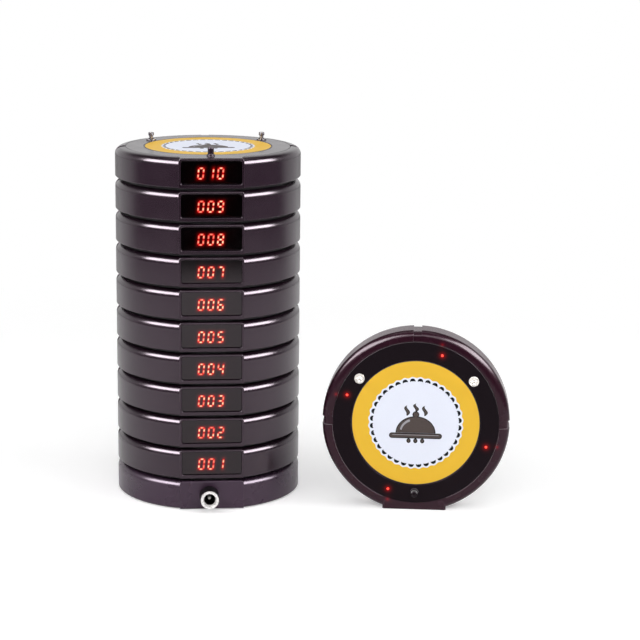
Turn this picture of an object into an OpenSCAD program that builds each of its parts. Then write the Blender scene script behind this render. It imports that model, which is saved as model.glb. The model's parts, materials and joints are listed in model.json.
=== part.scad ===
// Guest pager system: round coaster pagers stacked on a charging base, and one
// more pager standing beside the stack on its flat window edge.
// Millimetres, +Z up. The origin is the centre of the base's underside, on the
// table. The window side of the stack faces -Y, and +X is to its right.

/* [Stack] */
// Pagers stacked on the charging base
stack_count = 10; // [1:1:10]
// Height of a pager's outer ring and of its window block
ring_h = 17.2; // [15.8:0.1:20]
// Dark gap between one ring and the face of the piece below it
groove_h = 1.9; // [1.5:0.1:3]
// Height of the charging base's face above the table
base_h = 17.3; // [15:0.1:20]

/* [Round body] */
// Outer radius of every ring
body_r = 55; // [54:0.5:64]
// Radius of the shoulder where it leaves the face
shoulder_top_r = 11.1; // [10:0.1:12]
// Radius of the shoulder where it meets the side wall
shoulder_side_r = 4; // [3:0.1:4.2]
// Slope at which the upper radius hands over to the lower one, as the sine of its angle
shoulder_lean = 0.28; // [0.2:0.01:0.4]
// Wall thickness of the rings
wall = 2; // [1.6:0.1:2.4]
// Thickness of the face
deck = 2; // [1.8:0.1:2.2]
// Chamfer on the lower outside edge of a ring
ring_chamfer = 0.4; // [0.2:0.1:0.8]
// Width of the fine line around the face
line_w = 0.45; // [0.3:0.05:0.8]
// Depth of the fine line around the face
line_depth = 0.6; // [0.3:0.1:0.9]

/* [Rim notches] */
// Width of the three notches across a pager's rim
notch_w = 4.8; // [3:0.1:8]
// Depth of a rim notch
notch_depth = 0.8; // [0.4:0.1:1]

/* [Window block] */
// Distance from the axis to the flat front
flat_d = 53; // [52.6:0.1:53.4]
// Width of the flat front
block_w = 37.4; // [34:0.2:40]
// Thickness of the flat front wall
front_wall = 2.8; // [2.4:0.1:3]
// Cut across the two upper corners of the block
corner_cut = 1.2; // [0.6:0.1:2]
// Chamfer on the block's upper front edge
edge_cut = 0.45; // [0.2:0.05:0.8]
// Border beside the window
border_side = 1.1; // [0.8:0.1:2]
// Border above the window
border_top = 1.2; // [1:0.1:1.6]
// Border below the window
border_bottom = 1.9; // [1.2:0.1:2.2]
// Corner radius of the window
window_corner = 1.3; // [0.6:0.1:2]
// Thickness of the window lens
lens_t = 1.2; // [0.8:0.1:1.4]
// Distance the lens lies behind the flat front
lens_set = 0.3; // [0.1:0.1:0.5]
// Width of the ledge that the lens rests against
lens_ledge = 1.2; // [0.8:0.1:1.6]
// Clearance around the lens
lens_gap = 0.1; // [0.05:0.05:0.3]

/* [Label] */
// Distance from the contacts' circle to the edge of the round label
label_inset = 4.7; // [4:0.1:12]
// Thickness of the label
label_t = 0.3; // [0.2:0.05:0.5]
// Clearance around the label in its shallow seat
label_gap = 0.5; // [0.2:0.1:0.6]

/* [Charging contacts] */
// Distance from the edge of the face to the circle that the studs stand on
contact_inset = 6.7; // [6.3:0.1:7.5]
// Distance from the inside of the flat front wall to the locating peg's axis
peg_inset = 7.9; // [7.5:0.1:8.5]
// Angle of each stud from the back of the pager
contact_angle = 52; // [46:1:58]
// Height of a stud above the face
stud_h = 4.7; // [3.5:0.1:5]
// Radius of a stud's head
stud_head_r = 1.7; // [1.5:0.05:2]
// Length of a stud's head
stud_head_h = 2.1; // [1.4:0.1:2.4]
// Radius of a stud's waist
stud_waist_r = 1.2; // [1:0.05:1.3]
// Radius of a stud's flange on the face
stud_flange_r = 2.95; // [2.4:0.05:3.1]
// Thickness of a stud's flange
stud_flange_t = 0.8; // [0.5:0.1:1]
// Radius of a stud's shank inside the pager
stud_shank_r = 1.5; // [1.3:0.05:1.6]
// Radius of the locating peg
peg_r = 1.8; // [1.5:0.1:2]
// Height of the locating peg above the face
peg_h = 5; // [4:0.1:5]
// Radius of the collar at the foot of the locating peg
peg_collar_r = 2.4; // [2.1:0.1:2.7]
// Height of that collar
peg_collar_h = 0.9; // [0.5:0.1:1.2]
// Radius of the sockets under a pager
socket_r = 3.4; // [3.3:0.1:3.5]
// Wall of the cup around a socket
socket_wall = 1; // [0.8:0.1:1.2]
// Thickness of the cup's closed end
socket_cap = 0.7; // [0.6:0.1:0.7]
// Thickness of the contact plate in a socket
plate_t = 0.6; // [0.4:0.1:0.6]
// Radius of the contact plate's shank
plate_shank_r = 0.9; // [0.7:0.1:1.1]
// Running clearance between stud and plate, and between peg and socket end
nest_gap = 0.3; // [0.2:0.05:0.3]

/* [Bottom shell] */
// Distance from a ring's side to the foot that shows in the gap below it
foot_inset = 4.6; // [4:0.1:5.2]
// Width of the ring that a pager stands on
foot_w = 4; // [3:0.1:4.2]
// Relief under the shell, inside that ring
foot_relief = 0.7; // [0.6:0.1:0.8]
// Thickness of the shell's floor
floor_t = 1.5; // [1.3:0.1:1.6]
// Thickness of the shell's edge inside the ring
floor_edge_t = 1.8; // [1.4:0.1:2.4]
// Distance from the inside of that ring to the shell's inner pocket
pocket_inset = 1.4; // [1.2:0.1:2]
// Clearance between the shell's edge and the ring's wall
seam_gap = 0.2; // [0.1:0.05:0.3]

/* [Screw posts] */
// Distance of the screw posts from the axis
post_circle_r = 30; // [29:0.5:32]
// Radius of a post above the board
post_r = 4; // [3.4:0.1:4.2]
// Radius of a post where it passes through the board
post_neck_r = 2.6; // [2.3:0.1:2.7]
// Radius of a standoff under the board
standoff_r = 4.1; // [4:0.1:4.4]
// Clearance around the neck in the board and in the standoff
post_gap = 0.2; // [0.1:0.05:0.25]
// Radius of a screw's shank
screw_r = 1.1; // [0.9:0.05:1.2]
// Radius of a screw's head
screw_head_r = 2.4; // [2:0.1:2.5]
// Thickness of a screw's head
screw_head_t = 1.3; // [1:0.1:1.4]
// Thickness of plastic under a screw's head
screw_seat_t = 1.2; // [1:0.1:1.6]
// Length of thread inside the post
screw_grip = 5; // [3:0.5:6]
// Clearance around shanks and heads
screw_gap = 0.15; // [0.1:0.05:0.2]

/* [Inside a pager] */
// Distance from the edge of the face to the edge of the circuit board below it
board_inset = 3; // [2:0.1:3.5]
// Thickness of the circuit board
board_t = 1.6; // [1.2:0.1:1.6]
// Clearance of a circuit board from the motor, the front wall, the display and the inlet
board_gap = 0.6; // [0.4:0.1:1]
// Width of the display module
display_w = 22.6; // [20:0.1:28]
// Height of the display module
display_h = 8.4; // [8:0.1:8.5]
// Depth of the display module
display_t = 6.1; // [5.5:0.1:6.3]
// Distance from the edge of the face to the circle of indicator lamps
lamp_inset = 5.5; // [5:0.1:6.5]
// Radius of an indicator lamp
lamp_r = 1.5; // [1.2:0.1:1.6]
// Gap between an indicator lamp and the underside of the face
lamp_gap = 0.8; // [0.4:0.1:2]
// Battery length
battery_l = 36; // [30:1:38]
// Battery width
battery_w = 28; // [24:1:30]
// Battery thickness
battery_t = 5; // [4:0.2:6]
// Radius of the vibration motor
motor_r = 3; // [2.6:0.1:3.1]
// Length of the vibration motor
motor_l = 12; // [10:0.5:13]
// Distance of the motor's axis from the pager's axis
motor_x = 33; // [32:0.5:35]
// Radius of the motor's shaft
shaft_r = 0.5; // [0.4:0.05:0.75]
// Radius of the eccentric weight
weight_r = 2.8; // [2.2:0.1:2.9]
// Length of the eccentric weight
weight_l = 4; // [3:0.5:4.5]
// Gap between the motor and its weight
weight_gap = 0.8; // [0.5:0.1:1]
// Radial clearance of the shaft in the motor
shaft_gap = 0.05; // [0.02:0.01:0.1]
// Where the buzzer stands on the board, to the right of the axis
buzzer_x = -4; // [-5:0.5:-3]
// Where the buzzer stands on the board, towards the back
buzzer_y = -28; // [-30:0.5:-26]
// Radius of the buzzer
buzzer_r = 6; // [5:0.5:7]
// Height of the buzzer
buzzer_h = 3.8; // [3:0.1:5]

/* [Charging base] */
// Gap under the base's wall, filled by the anti-slip pad
base_lift = 0.6; // [0.4:0.1:0.8]
// Thickness of the base's bottom plate
base_floor_t = 2; // [1.8:0.1:2.2]
// Distance from the base's side to the anti-slip pad
pad_inset = 8; // [6:0.5:14]
// Thickness of the anti-slip pad
pad_t = 1.4; // [1.2:0.1:1.6]
// Clearance around the pad in its seat
pad_gap = 0.2; // [0.1:0.05:0.4]
// Height of the base board's underside above the table
base_board_z = 6; // [5.6:0.1:6.4]

/* [DC inlet] */
// Distance of the inlet's axis to the right of the middle of the flat front
jack_x = -1.6; // [-4:0.1:4]
// Gap between the base's bottom plate and the inlet's body
jack_rise = 1; // [0.4:0.1:1.2]
// Distance the inlet stands out of the flat front
jack_out = 10; // [8:0.5:12]
// Wall of the black sleeve around the barrel
sleeve_wall = 0.5; // [0.4:0.05:0.8]
// Radius of the nickel barrel
barrel_r = 5; // [4.7:0.1:5]
// Height of the barrel's front lip above the barrel
lip_step = 0.25; // [0.1:0.05:0.4]
// Length of the barrel's front lip
lip_l = 1.6; // [1:0.1:2.5]
// Radius of the barrel's bore
bore_r = 3.2; // [3.1:0.05:3.4]
// Radius of the barrel's mouth
mouth_r = 4; // [3.6:0.1:4.3]
// Depth of the tapered mouth
mouth_l = 2.2; // [1.5:0.1:3]
// Depth of the bore from the lip
bore_l = 11; // [9.5:0.5:12]
// Radius of the centre pin
pin_r = 1.05; // [0.9:0.05:1.25]
// Distance from the lip to the pin's tip
pin_set = 4.6; // [4.5:0.1:5.5]
// Width of the inlet's body inside the base
jack_body_w = 11.2; // [11:0.2:12]
// Height of the inlet's body inside the base
jack_body_h = 10; // [10:0.1:10.4]
// Length of the inlet's body behind the front wall
jack_body_l = 14; // [12:0.5:14.4]
// Clearance around the sleeve in the wall and around the barrel in the sleeve
jack_gap = 0.1; // [0.05:0.05:0.15]

/* [Loose pager] */
// Where the loose pager stands, to the right of the stack
loose_x = 122; // [119:1:160]
// Where it stands, in front of the stack's axis
loose_y = -41.5; // [-90:0.5:-40]
// Turn of the loose pager about the vertical
loose_yaw = -9; // [-20:1:10]

/* [Hidden] */
$fn = 96;
sink = 0.4; // how far one lump of a moulding reaches into the next
past = 1; // how far a cutter runs past what it cuts
under_shoulder = 1; // how far a ring's hollow reaches out under the shoulder

// Chips on the boards: middle to the right, middle to the back, width, length, height
pager_chips = [[0, 6, 9, 9, 1.2], [-18, 4, 12, 15, 2.4], [14, -24, 6, 8, 1.6]];
base_chips = [[-10, -22, 8, 10, 2.2], [8, 8, 12, 12, 3.5], [-20, 2, 9, 6, 1.4]];

// Heights measured from a pager's seat, which is the face it stands on
pager_h = groove_h + ring_h;
floor_top = foot_relief + floor_t;
motor_z = floor_top + motor_r + seam_gap;
board_z = motor_z + motor_r + board_gap;
board_top = board_z + board_t;
lamp_h = pager_h - deck - lamp_gap - board_top;
socket_depth = stud_h + nest_gap;
socket_top = socket_depth + plate_t + socket_cap;
peg_socket_depth = peg_h + nest_gap;
screw_seat_z = foot_relief + screw_head_t + screw_gap;
neck_end = screw_seat_z + screw_seat_t + screw_gap;

// Heights in the charging base, measured from the table
base_board_top = base_board_z + board_t;
base_screw_seat_z = pad_t + screw_head_t + screw_gap;
base_neck_end = base_screw_seat_z + screw_seat_t + screw_gap;
jack_z = base_lift + base_floor_t + jack_rise + jack_body_h / 2;

// The shoulder is two arcs that share a tangent
shoulder_turn = asin(shoulder_lean);
shoulder_w = shoulder_side_r + (shoulder_top_r - shoulder_side_r) * shoulder_lean;
shoulder_drop = shoulder_top_r - (shoulder_top_r - shoulder_side_r) * cos(shoulder_turn);
edge_r = body_r - shoulder_w;

// Distances from the axis
lens_back = flat_d - lens_set - lens_t;
wall_back = flat_d - front_wall;
contact_circle_r = edge_r - contact_inset;
peg_d = wall_back - peg_inset;
label_r = min(contact_circle_r, peg_d) - label_inset;
lamp_circle_r = edge_r - lamp_inset;
board_r = edge_r - board_inset;
foot_r = body_r - foot_inset;
foot_inner_r = foot_r - foot_w;
pocket_r = foot_inner_r - pocket_inset;
pad_r = body_r - pad_inset;

// Radii of the DC inlet
sleeve_r = barrel_r + sleeve_wall;
lip_r = barrel_r + lip_step;

// Window and lens
window_w = block_w - 2 * border_side;
window_h = ring_h - border_top - border_bottom;
window_z = border_bottom + window_h / 2;

// Angles, counted clockwise from the back when seen from above
post_angles = [45, 135, 225, 315];
stud_angles = [contact_angle, -contact_angle];
peg_angle = 180;
notch_angles = [0, 90, 270];
lamp_angles = [19.6, 108, 201, 291.5];

parts_per_pager = ["cover", "bottom_shell", "contacts"];
loose_parts = [
    "cover", "label", "window_lens", "display", "bottom_shell", "contact_studs",
    "contact_plates", "circuit_board", "indicator_lamps", "battery",
    "vibration_motor", "motor_weight", "buzzer", "screws"
];
base_parts = [
    "cover", "bottom_plate", "anti_slip_pad", "circuit_board", "contact_studs",
    "screws", "dc_sleeve", "dc_barrel", "dc_pin"
];

function two_digits(i) = str(i < 10 ? "0" : "", i);
function pager_node(i, part) = str("pager_", two_digits(i), "_", part);

// ---- placing ----

// Children at a radius and at an angle clockwise from the back
module around(radius, angles) {
    for (a = angles)
        rotate([0, 0, -a])
            translate([0, radius, 0])
                children();
}

// The seat of pager i in the stack
module on_stack(i) {
    translate([0, 0, base_h + (i - 1) * pager_h])
        children();
}

// The loose pager stands on its flat front, face towards -Y before its turn
module standing() {
    translate([loose_x, loose_y, flat_d])
        rotate([0, 0, loose_yaw])
            rotate([90, 0, 0])
                children();
}

// Axis of the DC inlet: local +Z runs out of the flat front
module at_inlet() {
    translate([jack_x, -flat_d, jack_z])
        rotate([90, 0, 0])
            children();
}

// ---- shapes that several pieces share ----

// Slice of a disc between two angles from the vertical, for a profile
module sector(centre, r, from, to) {
    reach = 2 * r;
    intersection() {
        translate(centre)
            circle(r);
        polygon([
            centre,
            centre + reach * [sin(from), cos(from)],
            centre + reach * [sin(to), cos(to)]
        ]);
    }
}

// Half section of a solid puck of height h with the shoulder on its upper edge
module puck_profile(h, inset) {
    top_c = [edge_r, h - shoulder_top_r];
    side_c = [body_r - shoulder_side_r, h - shoulder_drop];
    outer = body_r - inset;
    polygon([
        [0, 0],
        [outer - ring_chamfer, 0],
        [outer, ring_chamfer],
        [outer, side_c[1]],
        side_c,
        top_c,
        [edge_r, h - inset],
        [0, h - inset]
    ]);
    sector(top_c, shoulder_top_r - inset, 0, shoulder_turn);
    sector(side_c, shoulder_side_r - inset, shoulder_turn, 90);
}

// The turned body, with its seam at the back
module puck(h, inset = 0) {
    rotate([0, 0, 90])
        rotate_extrude()
            puck_profile(h, inset);
}

// Rounded rectangle, centred
module round_rect(w, h, r) {
    square([w - 2 * r, h], center = true);
    square([w, h - 2 * r], center = true);
    for (x = [-1, 1], y = [-1, 1])
        translate([x * (w / 2 - r), y * (h / 2 - r)])
            circle(r);
}

// A flat outline drawn in X and Z, cut from d_out inwards to d_in behind it
module front_cut(d_in, d_out) {
    translate([0, -d_in, 0])
        rotate([90, 0, 0])
            linear_extrude(d_out - d_in)
                children();
}

// The flat window block, with its upper corners cut
module window_block(h) {
    half = block_w / 2;
    root = min(edge_r - corner_cut, wall_back);
    difference() {
        front_cut(root, flat_d)
            polygon([
                [-half, 0],
                [half, 0],
                [half, h - corner_cut],
                [half - corner_cut, h],
                [-half + corner_cut, h],
                [-half, h - corner_cut]
            ]);
        translate([-half - past, -flat_d, h - edge_cut])
            rotate([45, 0, 0])
                translate([0, -2 * edge_cut, 0])
                    cube([block_w + 2 * past, 4 * edge_cut, 2 * edge_cut]);
    }
}

// Boxes that mark where the rim notches run
module notch_zone(h) {
    around(0, notch_angles)
        translate([-notch_w / 2, edge_r - line_w / 2, -past])
            cube([notch_w, line_w / 2 + shoulder_w + past, h + 2 * past]);
}

// Outer solid of a ring: puck with its front cut flat and the block on it
module ring_solid(h, notched) {
    difference() {
        puck(h);
        translate([-block_w / 2, -body_r - past, -past])
            cube([block_w, body_r + past - flat_d, h + 2 * past]);
        if (notched)
            notch_zone(h);
    }
    if (notched)
        intersection() {
            puck(h, notch_depth);
            notch_zone(h);
        }
    window_block(h);
}

// Hollow under the face, open below, squared off behind the window block
module cavity(h) {
    lip = edge_r + under_shoulder;
    step = h - shoulder_drop - wall;
    pocket_w = block_w - 2 * wall;
    translate([-pocket_w / 2, -wall_back, -past])
        cube([pocket_w, wall_back - lip / 2, h + past - deck]);
    intersection() {
        rotate_extrude()
            polygon([
                [0, -past],
                [body_r - wall, -past],
                [body_r - wall, step],
                [lip, step],
                [lip, h - deck],
                [0, h - deck]
            ]);
        translate([-body_r, -wall_back, -2 * past])
            cube([2 * body_r, body_r + wall_back, h + 2 * past]);
    }
}

// Fine line around the face, left out across the block
module face_line(h) {
    difference() {
        translate([0, 0, h - line_depth])
            cylinder(r = edge_r, h = line_depth + past);
        translate([0, 0, h - line_depth - past])
            cylinder(r = edge_r - line_w, h = line_depth + 3 * past);
        translate([-block_w / 2, -body_r, h - line_depth - past])
            cube([block_w, body_r, line_depth + 3 * past]);
    }
}

// Black locating peg on a face at height z
module locating_peg(z) {
    tip = 0.4;
    dimple_r = peg_r / 2;
    around(peg_d, [peg_angle])
        translate([0, 0, z])
            difference() {
                rotate_extrude()
                    polygon([
                        [0, -sink],
                        [peg_collar_r, -sink],
                        [peg_collar_r, peg_collar_h],
                        [peg_r, peg_collar_h],
                        [peg_r, peg_h - tip],
                        [peg_r - tip, peg_h],
                        [0, peg_h]
                    ]);
                translate([0, 0, peg_h - tip])
                    cylinder(r = dimple_r, h = tip + past);
            }
}

// Holes in a face for the two charging studs
module stud_holes(z) {
    around(contact_circle_r, stud_angles)
        translate([0, 0, z - deck - past])
            cylinder(r = stud_shank_r + shaft_gap, h = deck + 2 * past);
}

// Screw posts under a face: a thick part down to the board, then a neck
module screw_posts(face_z, stop_z, end_z) {
    around(post_circle_r, post_angles)
        difference() {
            union() {
                translate([0, 0, stop_z])
                    cylinder(r = post_r, h = face_z - deck + sink - stop_z);
                translate([0, 0, end_z])
                    cylinder(r = post_neck_r, h = stop_z + sink - end_z);
            }
            translate([0, 0, end_z - past])
                cylinder(r = screw_r + shaft_gap, h = screw_grip + past + screw_gap);
        }
}

// Standoffs on a floor, each with a thick seat for its screw's head
module standoffs(floor_z, seat_z, top_z) {
    around(post_circle_r, post_angles) {
        translate([0, 0, floor_z])
            cylinder(r = standoff_r, h = top_z - floor_z);
        translate([0, 0, seat_z - sink])
            cylinder(r = standoff_r, h = screw_seat_t + sink);
    }
}

// Everything that is bored out of the standoffs
module standoff_bores(under_z, seat_z, top_z) {
    around(post_circle_r, post_angles) {
        translate([0, 0, seat_z + screw_seat_t])
            cylinder(r = post_neck_r + post_gap, h = top_z - seat_z - screw_seat_t + past);
        translate([0, 0, under_z - past])
            cylinder(r = screw_r + screw_gap, h = top_z - under_z + past);
        translate([0, 0, under_z - past])
            cylinder(r = screw_head_r + screw_gap, h = seat_z - under_z + past);
    }
}

// Cross-head screws whose heads lie against seat_z from below
module screws(seat_z) {
    cross_w = 0.6;
    cross_l = 2.6;
    cross_d = 0.7;
    around(post_circle_r, post_angles)
        translate([0, 0, seat_z])
            difference() {
                union() {
                    translate([0, 0, -screw_head_t])
                        cylinder(r = screw_head_r, h = screw_head_t);
                    cylinder(r = screw_r, h = screw_seat_t + screw_grip);
                }
                for (turn = [0, 90])
                    rotate([0, 0, turn])
                        translate([-cross_l / 2, -cross_w / 2, -screw_head_t - past])
                            cube([cross_l, cross_w, cross_d + past]);
            }
}

// Charging studs on a face at height z, their shanks reaching down to low_z
module studs(z, low_z) {
    rim = 0.7;
    dish = 0.3;
    dimple_r = 0.8;
    around(contact_circle_r, stud_angles)
        translate([0, 0, z])
            rotate_extrude()
                polygon([
                    [0, low_z - z],
                    [stud_shank_r, low_z - z],
                    [stud_shank_r, 0],
                    [stud_flange_r, 0],
                    [stud_flange_r, stud_flange_t],
                    [stud_flange_r - rim, stud_flange_t],
                    [stud_flange_r - rim - dish, stud_flange_t - dish],
                    [stud_waist_r, stud_flange_t - dish],
                    [stud_waist_r, stud_h - stud_head_h],
                    [stud_head_r, stud_h - stud_head_h + dish],
                    [stud_head_r, stud_h - dish],
                    [stud_head_r - dish, stud_h],
                    [dimple_r, stud_h],
                    [0, stud_h - dimple_r]
                ]);
}

// Contact plates at the closed ends of the sockets
module plates() {
    around(contact_circle_r, stud_angles)
        translate([0, 0, socket_depth]) {
            cylinder(r = socket_r - shaft_gap, h = plate_t);
            translate([0, 0, plate_t - sink / 2])
                cylinder(r = plate_shank_r, h = board_z - socket_depth - plate_t + sink / 2);
        }
}

// Round board that stays clear of the front wall, with a bay around what is
// bay_w wide and bay_l long behind that wall, and holes for the posts' necks
module board_blank(bay_x, bay_w, bay_l) {
    front = wall_back - board_gap;
    clear_w = bay_w + 2 * board_gap;
    difference() {
        cylinder(r = board_r, h = board_t);
        translate([-body_r, -body_r - front, -past])
            cube([2 * body_r, body_r, board_t + 2 * past]);
        translate([bay_x - clear_w / 2, -body_r - front + bay_l, -past])
            cube([clear_w, body_r, board_t + 2 * past]);
        around(post_circle_r, post_angles)
            translate([0, 0, -past])
                cylinder(r = post_neck_r + post_gap, h = board_t + 2 * past);
    }
}

// Chips and modules on a board's upper side
module chips(rows) {
    for (row = rows)
        translate([row[0] - row[2] / 2, row[1] - row[3] / 2, board_t - sink])
            cube([row[2], row[3], row[4] + sink]);
}

// ---- pieces of a pager, with the seat at height 0 ----

module pager_cover(open_window) {
    ledge_w = window_w - 2 * lens_ledge;
    ledge_h = window_h - 2 * lens_ledge;
    color([0.27, 0.24, 0.27]) {
        difference() {
            translate([0, 0, groove_h]) {
                difference() {
                    ring_solid(ring_h, true);
                    cavity(ring_h);
                    face_line(ring_h);
                    front_cut(lens_back, flat_d + past)
                        translate([0, window_z])
                            round_rect(window_w, window_h, window_corner);
                    if (open_window)
                        front_cut(wall_back - past, flat_d)
                            translate([0, window_z])
                                square([ledge_w, ledge_h], center = true);
                }
            }
            translate([0, 0, pager_h - label_t])
                cylinder(r = label_r + label_gap, h = label_t + past);
            stud_holes(pager_h);
        }
        locating_peg(pager_h);
        screw_posts(pager_h, board_top, neck_end);
    }
}

module pager_bottom_shell() {
    cup_r = socket_r + socket_wall;
    cradle_l = motor_l / 2;
    cradle_w = 2 * (motor_r + socket_wall);
    color([0.10, 0.09, 0.10])
        difference() {
            union() {
                difference() {
                    intersection() {
                        union() {
                            cylinder(r = foot_r, h = groove_h + sink);
                            translate([0, 0, groove_h])
                                cylinder(r = body_r - wall - seam_gap, h = floor_edge_t);
                        }
                        shell_plan();
                    }
                    translate([0, 0, -past])
                        cylinder(r = foot_inner_r, h = foot_relief + past);
                    translate([0, 0, floor_top])
                        cylinder(r = pocket_r, h = floor_edge_t + past);
                }
                around(contact_circle_r, stud_angles)
                    translate([0, 0, foot_relief])
                        cylinder(r = cup_r, h = socket_top - foot_relief);
                around(peg_d, [peg_angle])
                    translate([0, 0, foot_relief])
                        cylinder(r = cup_r, h = peg_socket_depth + socket_cap - foot_relief);
                standoffs(floor_top - sink, screw_seat_z, board_z);
                translate([motor_x - cradle_w / 2, -cradle_l / 2, floor_top - sink])
                    cube([cradle_w, cradle_l, motor_r + seam_gap + sink]);
            }
            around(contact_circle_r, stud_angles)
                translate([0, 0, -past]) {
                    cylinder(r = socket_r, h = socket_depth + plate_t + past);
                    cylinder(r = plate_shank_r + shaft_gap, h = socket_top + 2 * past);
                }
            around(peg_d, [peg_angle])
                translate([0, 0, -past])
                    cylinder(r = socket_r, h = peg_socket_depth + past);
            standoff_bores(foot_relief, screw_seat_z, board_z);
            translate([motor_x, 0, motor_z])
                rotate([90, 0, 0])
                    cylinder(r = motor_r + shaft_gap, h = 2 * cradle_l, center = true);
        }
}

// Plan of the shell's edge: all of the ring's inside behind the front wall
module shell_plan() {
    front = wall_back - seam_gap;
    translate([-body_r, -front, -past])
        cube([2 * body_r, body_r + front, pager_h]);
}

module pager_studs() {
    color([0.78, 0.77, 0.75])
        studs(pager_h, board_top);
}

module pager_plates() {
    color([0.85, 0.68, 0.35])
        plates();
}

module pager_contacts() {
    pager_studs();
    pager_plates();
}

module label_disc() {
    color([0.92, 0.75, 0.29])
        translate([0, 0, pager_h - label_t])
            cylinder(r = label_r, h = label_t);
}

module window_lens() {
    color([0.05, 0.03, 0.05])
        translate([0, 0, groove_h])
            front_cut(lens_back, lens_back + lens_t)
                translate([0, window_z])
                    round_rect(window_w - 2 * lens_gap, window_h - 2 * lens_gap, window_corner);
}

module display() {
    color([0.16, 0.15, 0.15])
        translate([0, 0, groove_h])
            front_cut(wall_back - display_t, wall_back)
                translate([0, window_z])
                    square([display_w, display_h], center = true);
}

module pager_board() {
    color([0.10, 0.34, 0.18])
        translate([0, 0, board_z]) {
            board_blank(0, display_w, display_t);
            chips(pager_chips);
        }
}

module indicator_lamps() {
    color([0.85, 0.08, 0.06])
        around(lamp_circle_r, lamp_angles)
            translate([0, 0, board_top]) {
                cylinder(r = lamp_r, h = lamp_h - lamp_r);
                translate([0, 0, lamp_h - lamp_r])
                    sphere(lamp_r);
            }
}

module battery() {
    color([0.62, 0.66, 0.72])
        translate([0, 0, floor_top])
            linear_extrude(battery_t)
                round_rect(battery_l, battery_w, 2);
}

module vibration_motor() {
    color([0.72, 0.72, 0.74])
        translate([motor_x, 0, motor_z])
            rotate([-90, 0, 0])
                difference() {
                    translate([0, 0, -motor_l / 2])
                        cylinder(r = motor_r, h = motor_l);
                    cylinder(r = shaft_r + shaft_gap, h = motor_l);
                }
}

// Half-round weight on its shaft, running in the motor
module motor_weight() {
    face = motor_l / 2 + weight_gap;
    color([0.55, 0.52, 0.48])
        translate([motor_x, 0, motor_z])
            rotate([-90, 0, 0]) {
                translate([0, 0, shaft_gap])
                    cylinder(r = shaft_r, h = face + weight_l - shaft_gap);
                translate([0, 0, face])
                    difference() {
                        cylinder(r = weight_r, h = weight_l);
                        translate([-weight_r, shaft_r, -past])
                            cube([2 * weight_r, weight_r, weight_l + 2 * past]);
                    }
            }
}

module buzzer() {
    port_r = 1;
    color([0.08, 0.08, 0.09])
        translate([buzzer_x, buzzer_y, board_top])
            difference() {
                cylinder(r = buzzer_r, h = buzzer_h);
                translate([0, 0, buzzer_h - past])
                    cylinder(r = port_r, h = 2 * past);
            }
}

module pager_screws() {
    color([0.45, 0.44, 0.43])
        screws(screw_seat_z);
}

// ---- pieces of the charging base, with the table at height 0 ----

module base_cover() {
    h = base_h - base_lift;
    color([0.28, 0.23, 0.29]) {
        difference() {
            translate([0, 0, base_lift])
                difference() {
                    ring_solid(h, false);
                    cavity(h);
                    face_line(h);
                }
            stud_holes(base_h);
            at_inlet()
                translate([0, 0, -front_wall - past])
                    cylinder(r = sleeve_r + jack_gap, h = front_wall + 2 * past);
        }
        locating_peg(base_h);
        screw_posts(base_h, base_board_top, base_neck_end);
    }
}

module base_bottom_plate() {
    color([0.12, 0.11, 0.12])
        difference() {
            union() {
                difference() {
                    intersection() {
                        translate([0, 0, base_lift])
                            cylinder(r = body_r - wall - seam_gap, h = base_floor_t);
                        shell_plan();
                    }
                    translate([0, 0, -past])
                        cylinder(r = pad_r + pad_gap, h = pad_t + past);
                }
                standoffs(pad_t, base_screw_seat_z, base_board_z);
            }
            standoff_bores(pad_t, base_screw_seat_z, base_board_z);
        }
}

module base_anti_slip_pad() {
    color([0.07, 0.07, 0.07])
        cylinder(r = pad_r, h = pad_t);
}

module base_circuit_board() {
    color([0.10, 0.34, 0.18])
        translate([0, 0, base_board_z]) {
            board_blank(jack_x, jack_body_w, jack_body_l);
            chips(base_chips);
        }
}

module base_contact_studs() {
    color([0.78, 0.77, 0.75])
        studs(base_h, base_board_top);
}

module base_screws() {
    color([0.45, 0.44, 0.43])
        screws(base_screw_seat_z);
}

// Black sleeve that stands out of the wall, and the inlet's body behind it
module base_dc_sleeve() {
    back = -front_wall - jack_body_l;
    bore_end = jack_out - bore_l;
    color([0.05, 0.05, 0.06])
        at_inlet()
            difference() {
                union() {
                    translate([0, 0, -front_wall - sink])
                        cylinder(r = sleeve_r, h = front_wall + sink + jack_out - lip_l - jack_gap);
                    translate([-jack_body_w / 2, -jack_body_h / 2, back])
                        cube([jack_body_w, jack_body_h, jack_body_l]);
                }
                translate([0, 0, bore_end - wall])
                    cylinder(r = barrel_r + jack_gap / 2, h = bore_l + wall + past);
                translate([0, 0, bore_end - 2 * wall])
                    cylinder(r = pin_r + jack_gap / 2, h = bore_l + wall);
            }
}

// Nickel barrel: a tube with a lip and a tapered mouth
module base_dc_barrel() {
    bore_end = jack_out - bore_l;
    color([0.86, 0.85, 0.82])
        at_inlet()
            difference() {
                union() {
                    translate([0, 0, bore_end - wall])
                        cylinder(r = barrel_r, h = bore_l + wall);
                    translate([0, 0, jack_out - lip_l])
                        cylinder(r = lip_r, h = lip_l);
                }
                translate([0, 0, bore_end])
                    cylinder(r = bore_r, h = bore_l + past);
                translate([0, 0, jack_out - mouth_l])
                    cylinder(r1 = bore_r, r2 = mouth_r, h = mouth_l);
                translate([0, 0, jack_out - sink / 4])
                    cylinder(r = mouth_r, h = past);
                translate([0, 0, bore_end - wall - past])
                    cylinder(r = pin_r + jack_gap / 2, h = wall + 2 * past);
            }
}

module base_dc_pin() {
    low = jack_out - bore_l - 2 * wall;
    color([0.9, 0.88, 0.84])
        at_inlet() {
            translate([0, 0, low])
                cylinder(r = pin_r, h = jack_out - pin_set - pin_r - low);
            translate([0, 0, jack_out - pin_set - pin_r])
                sphere(pin_r);
        }
}

// ---- the nodes ----

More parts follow.
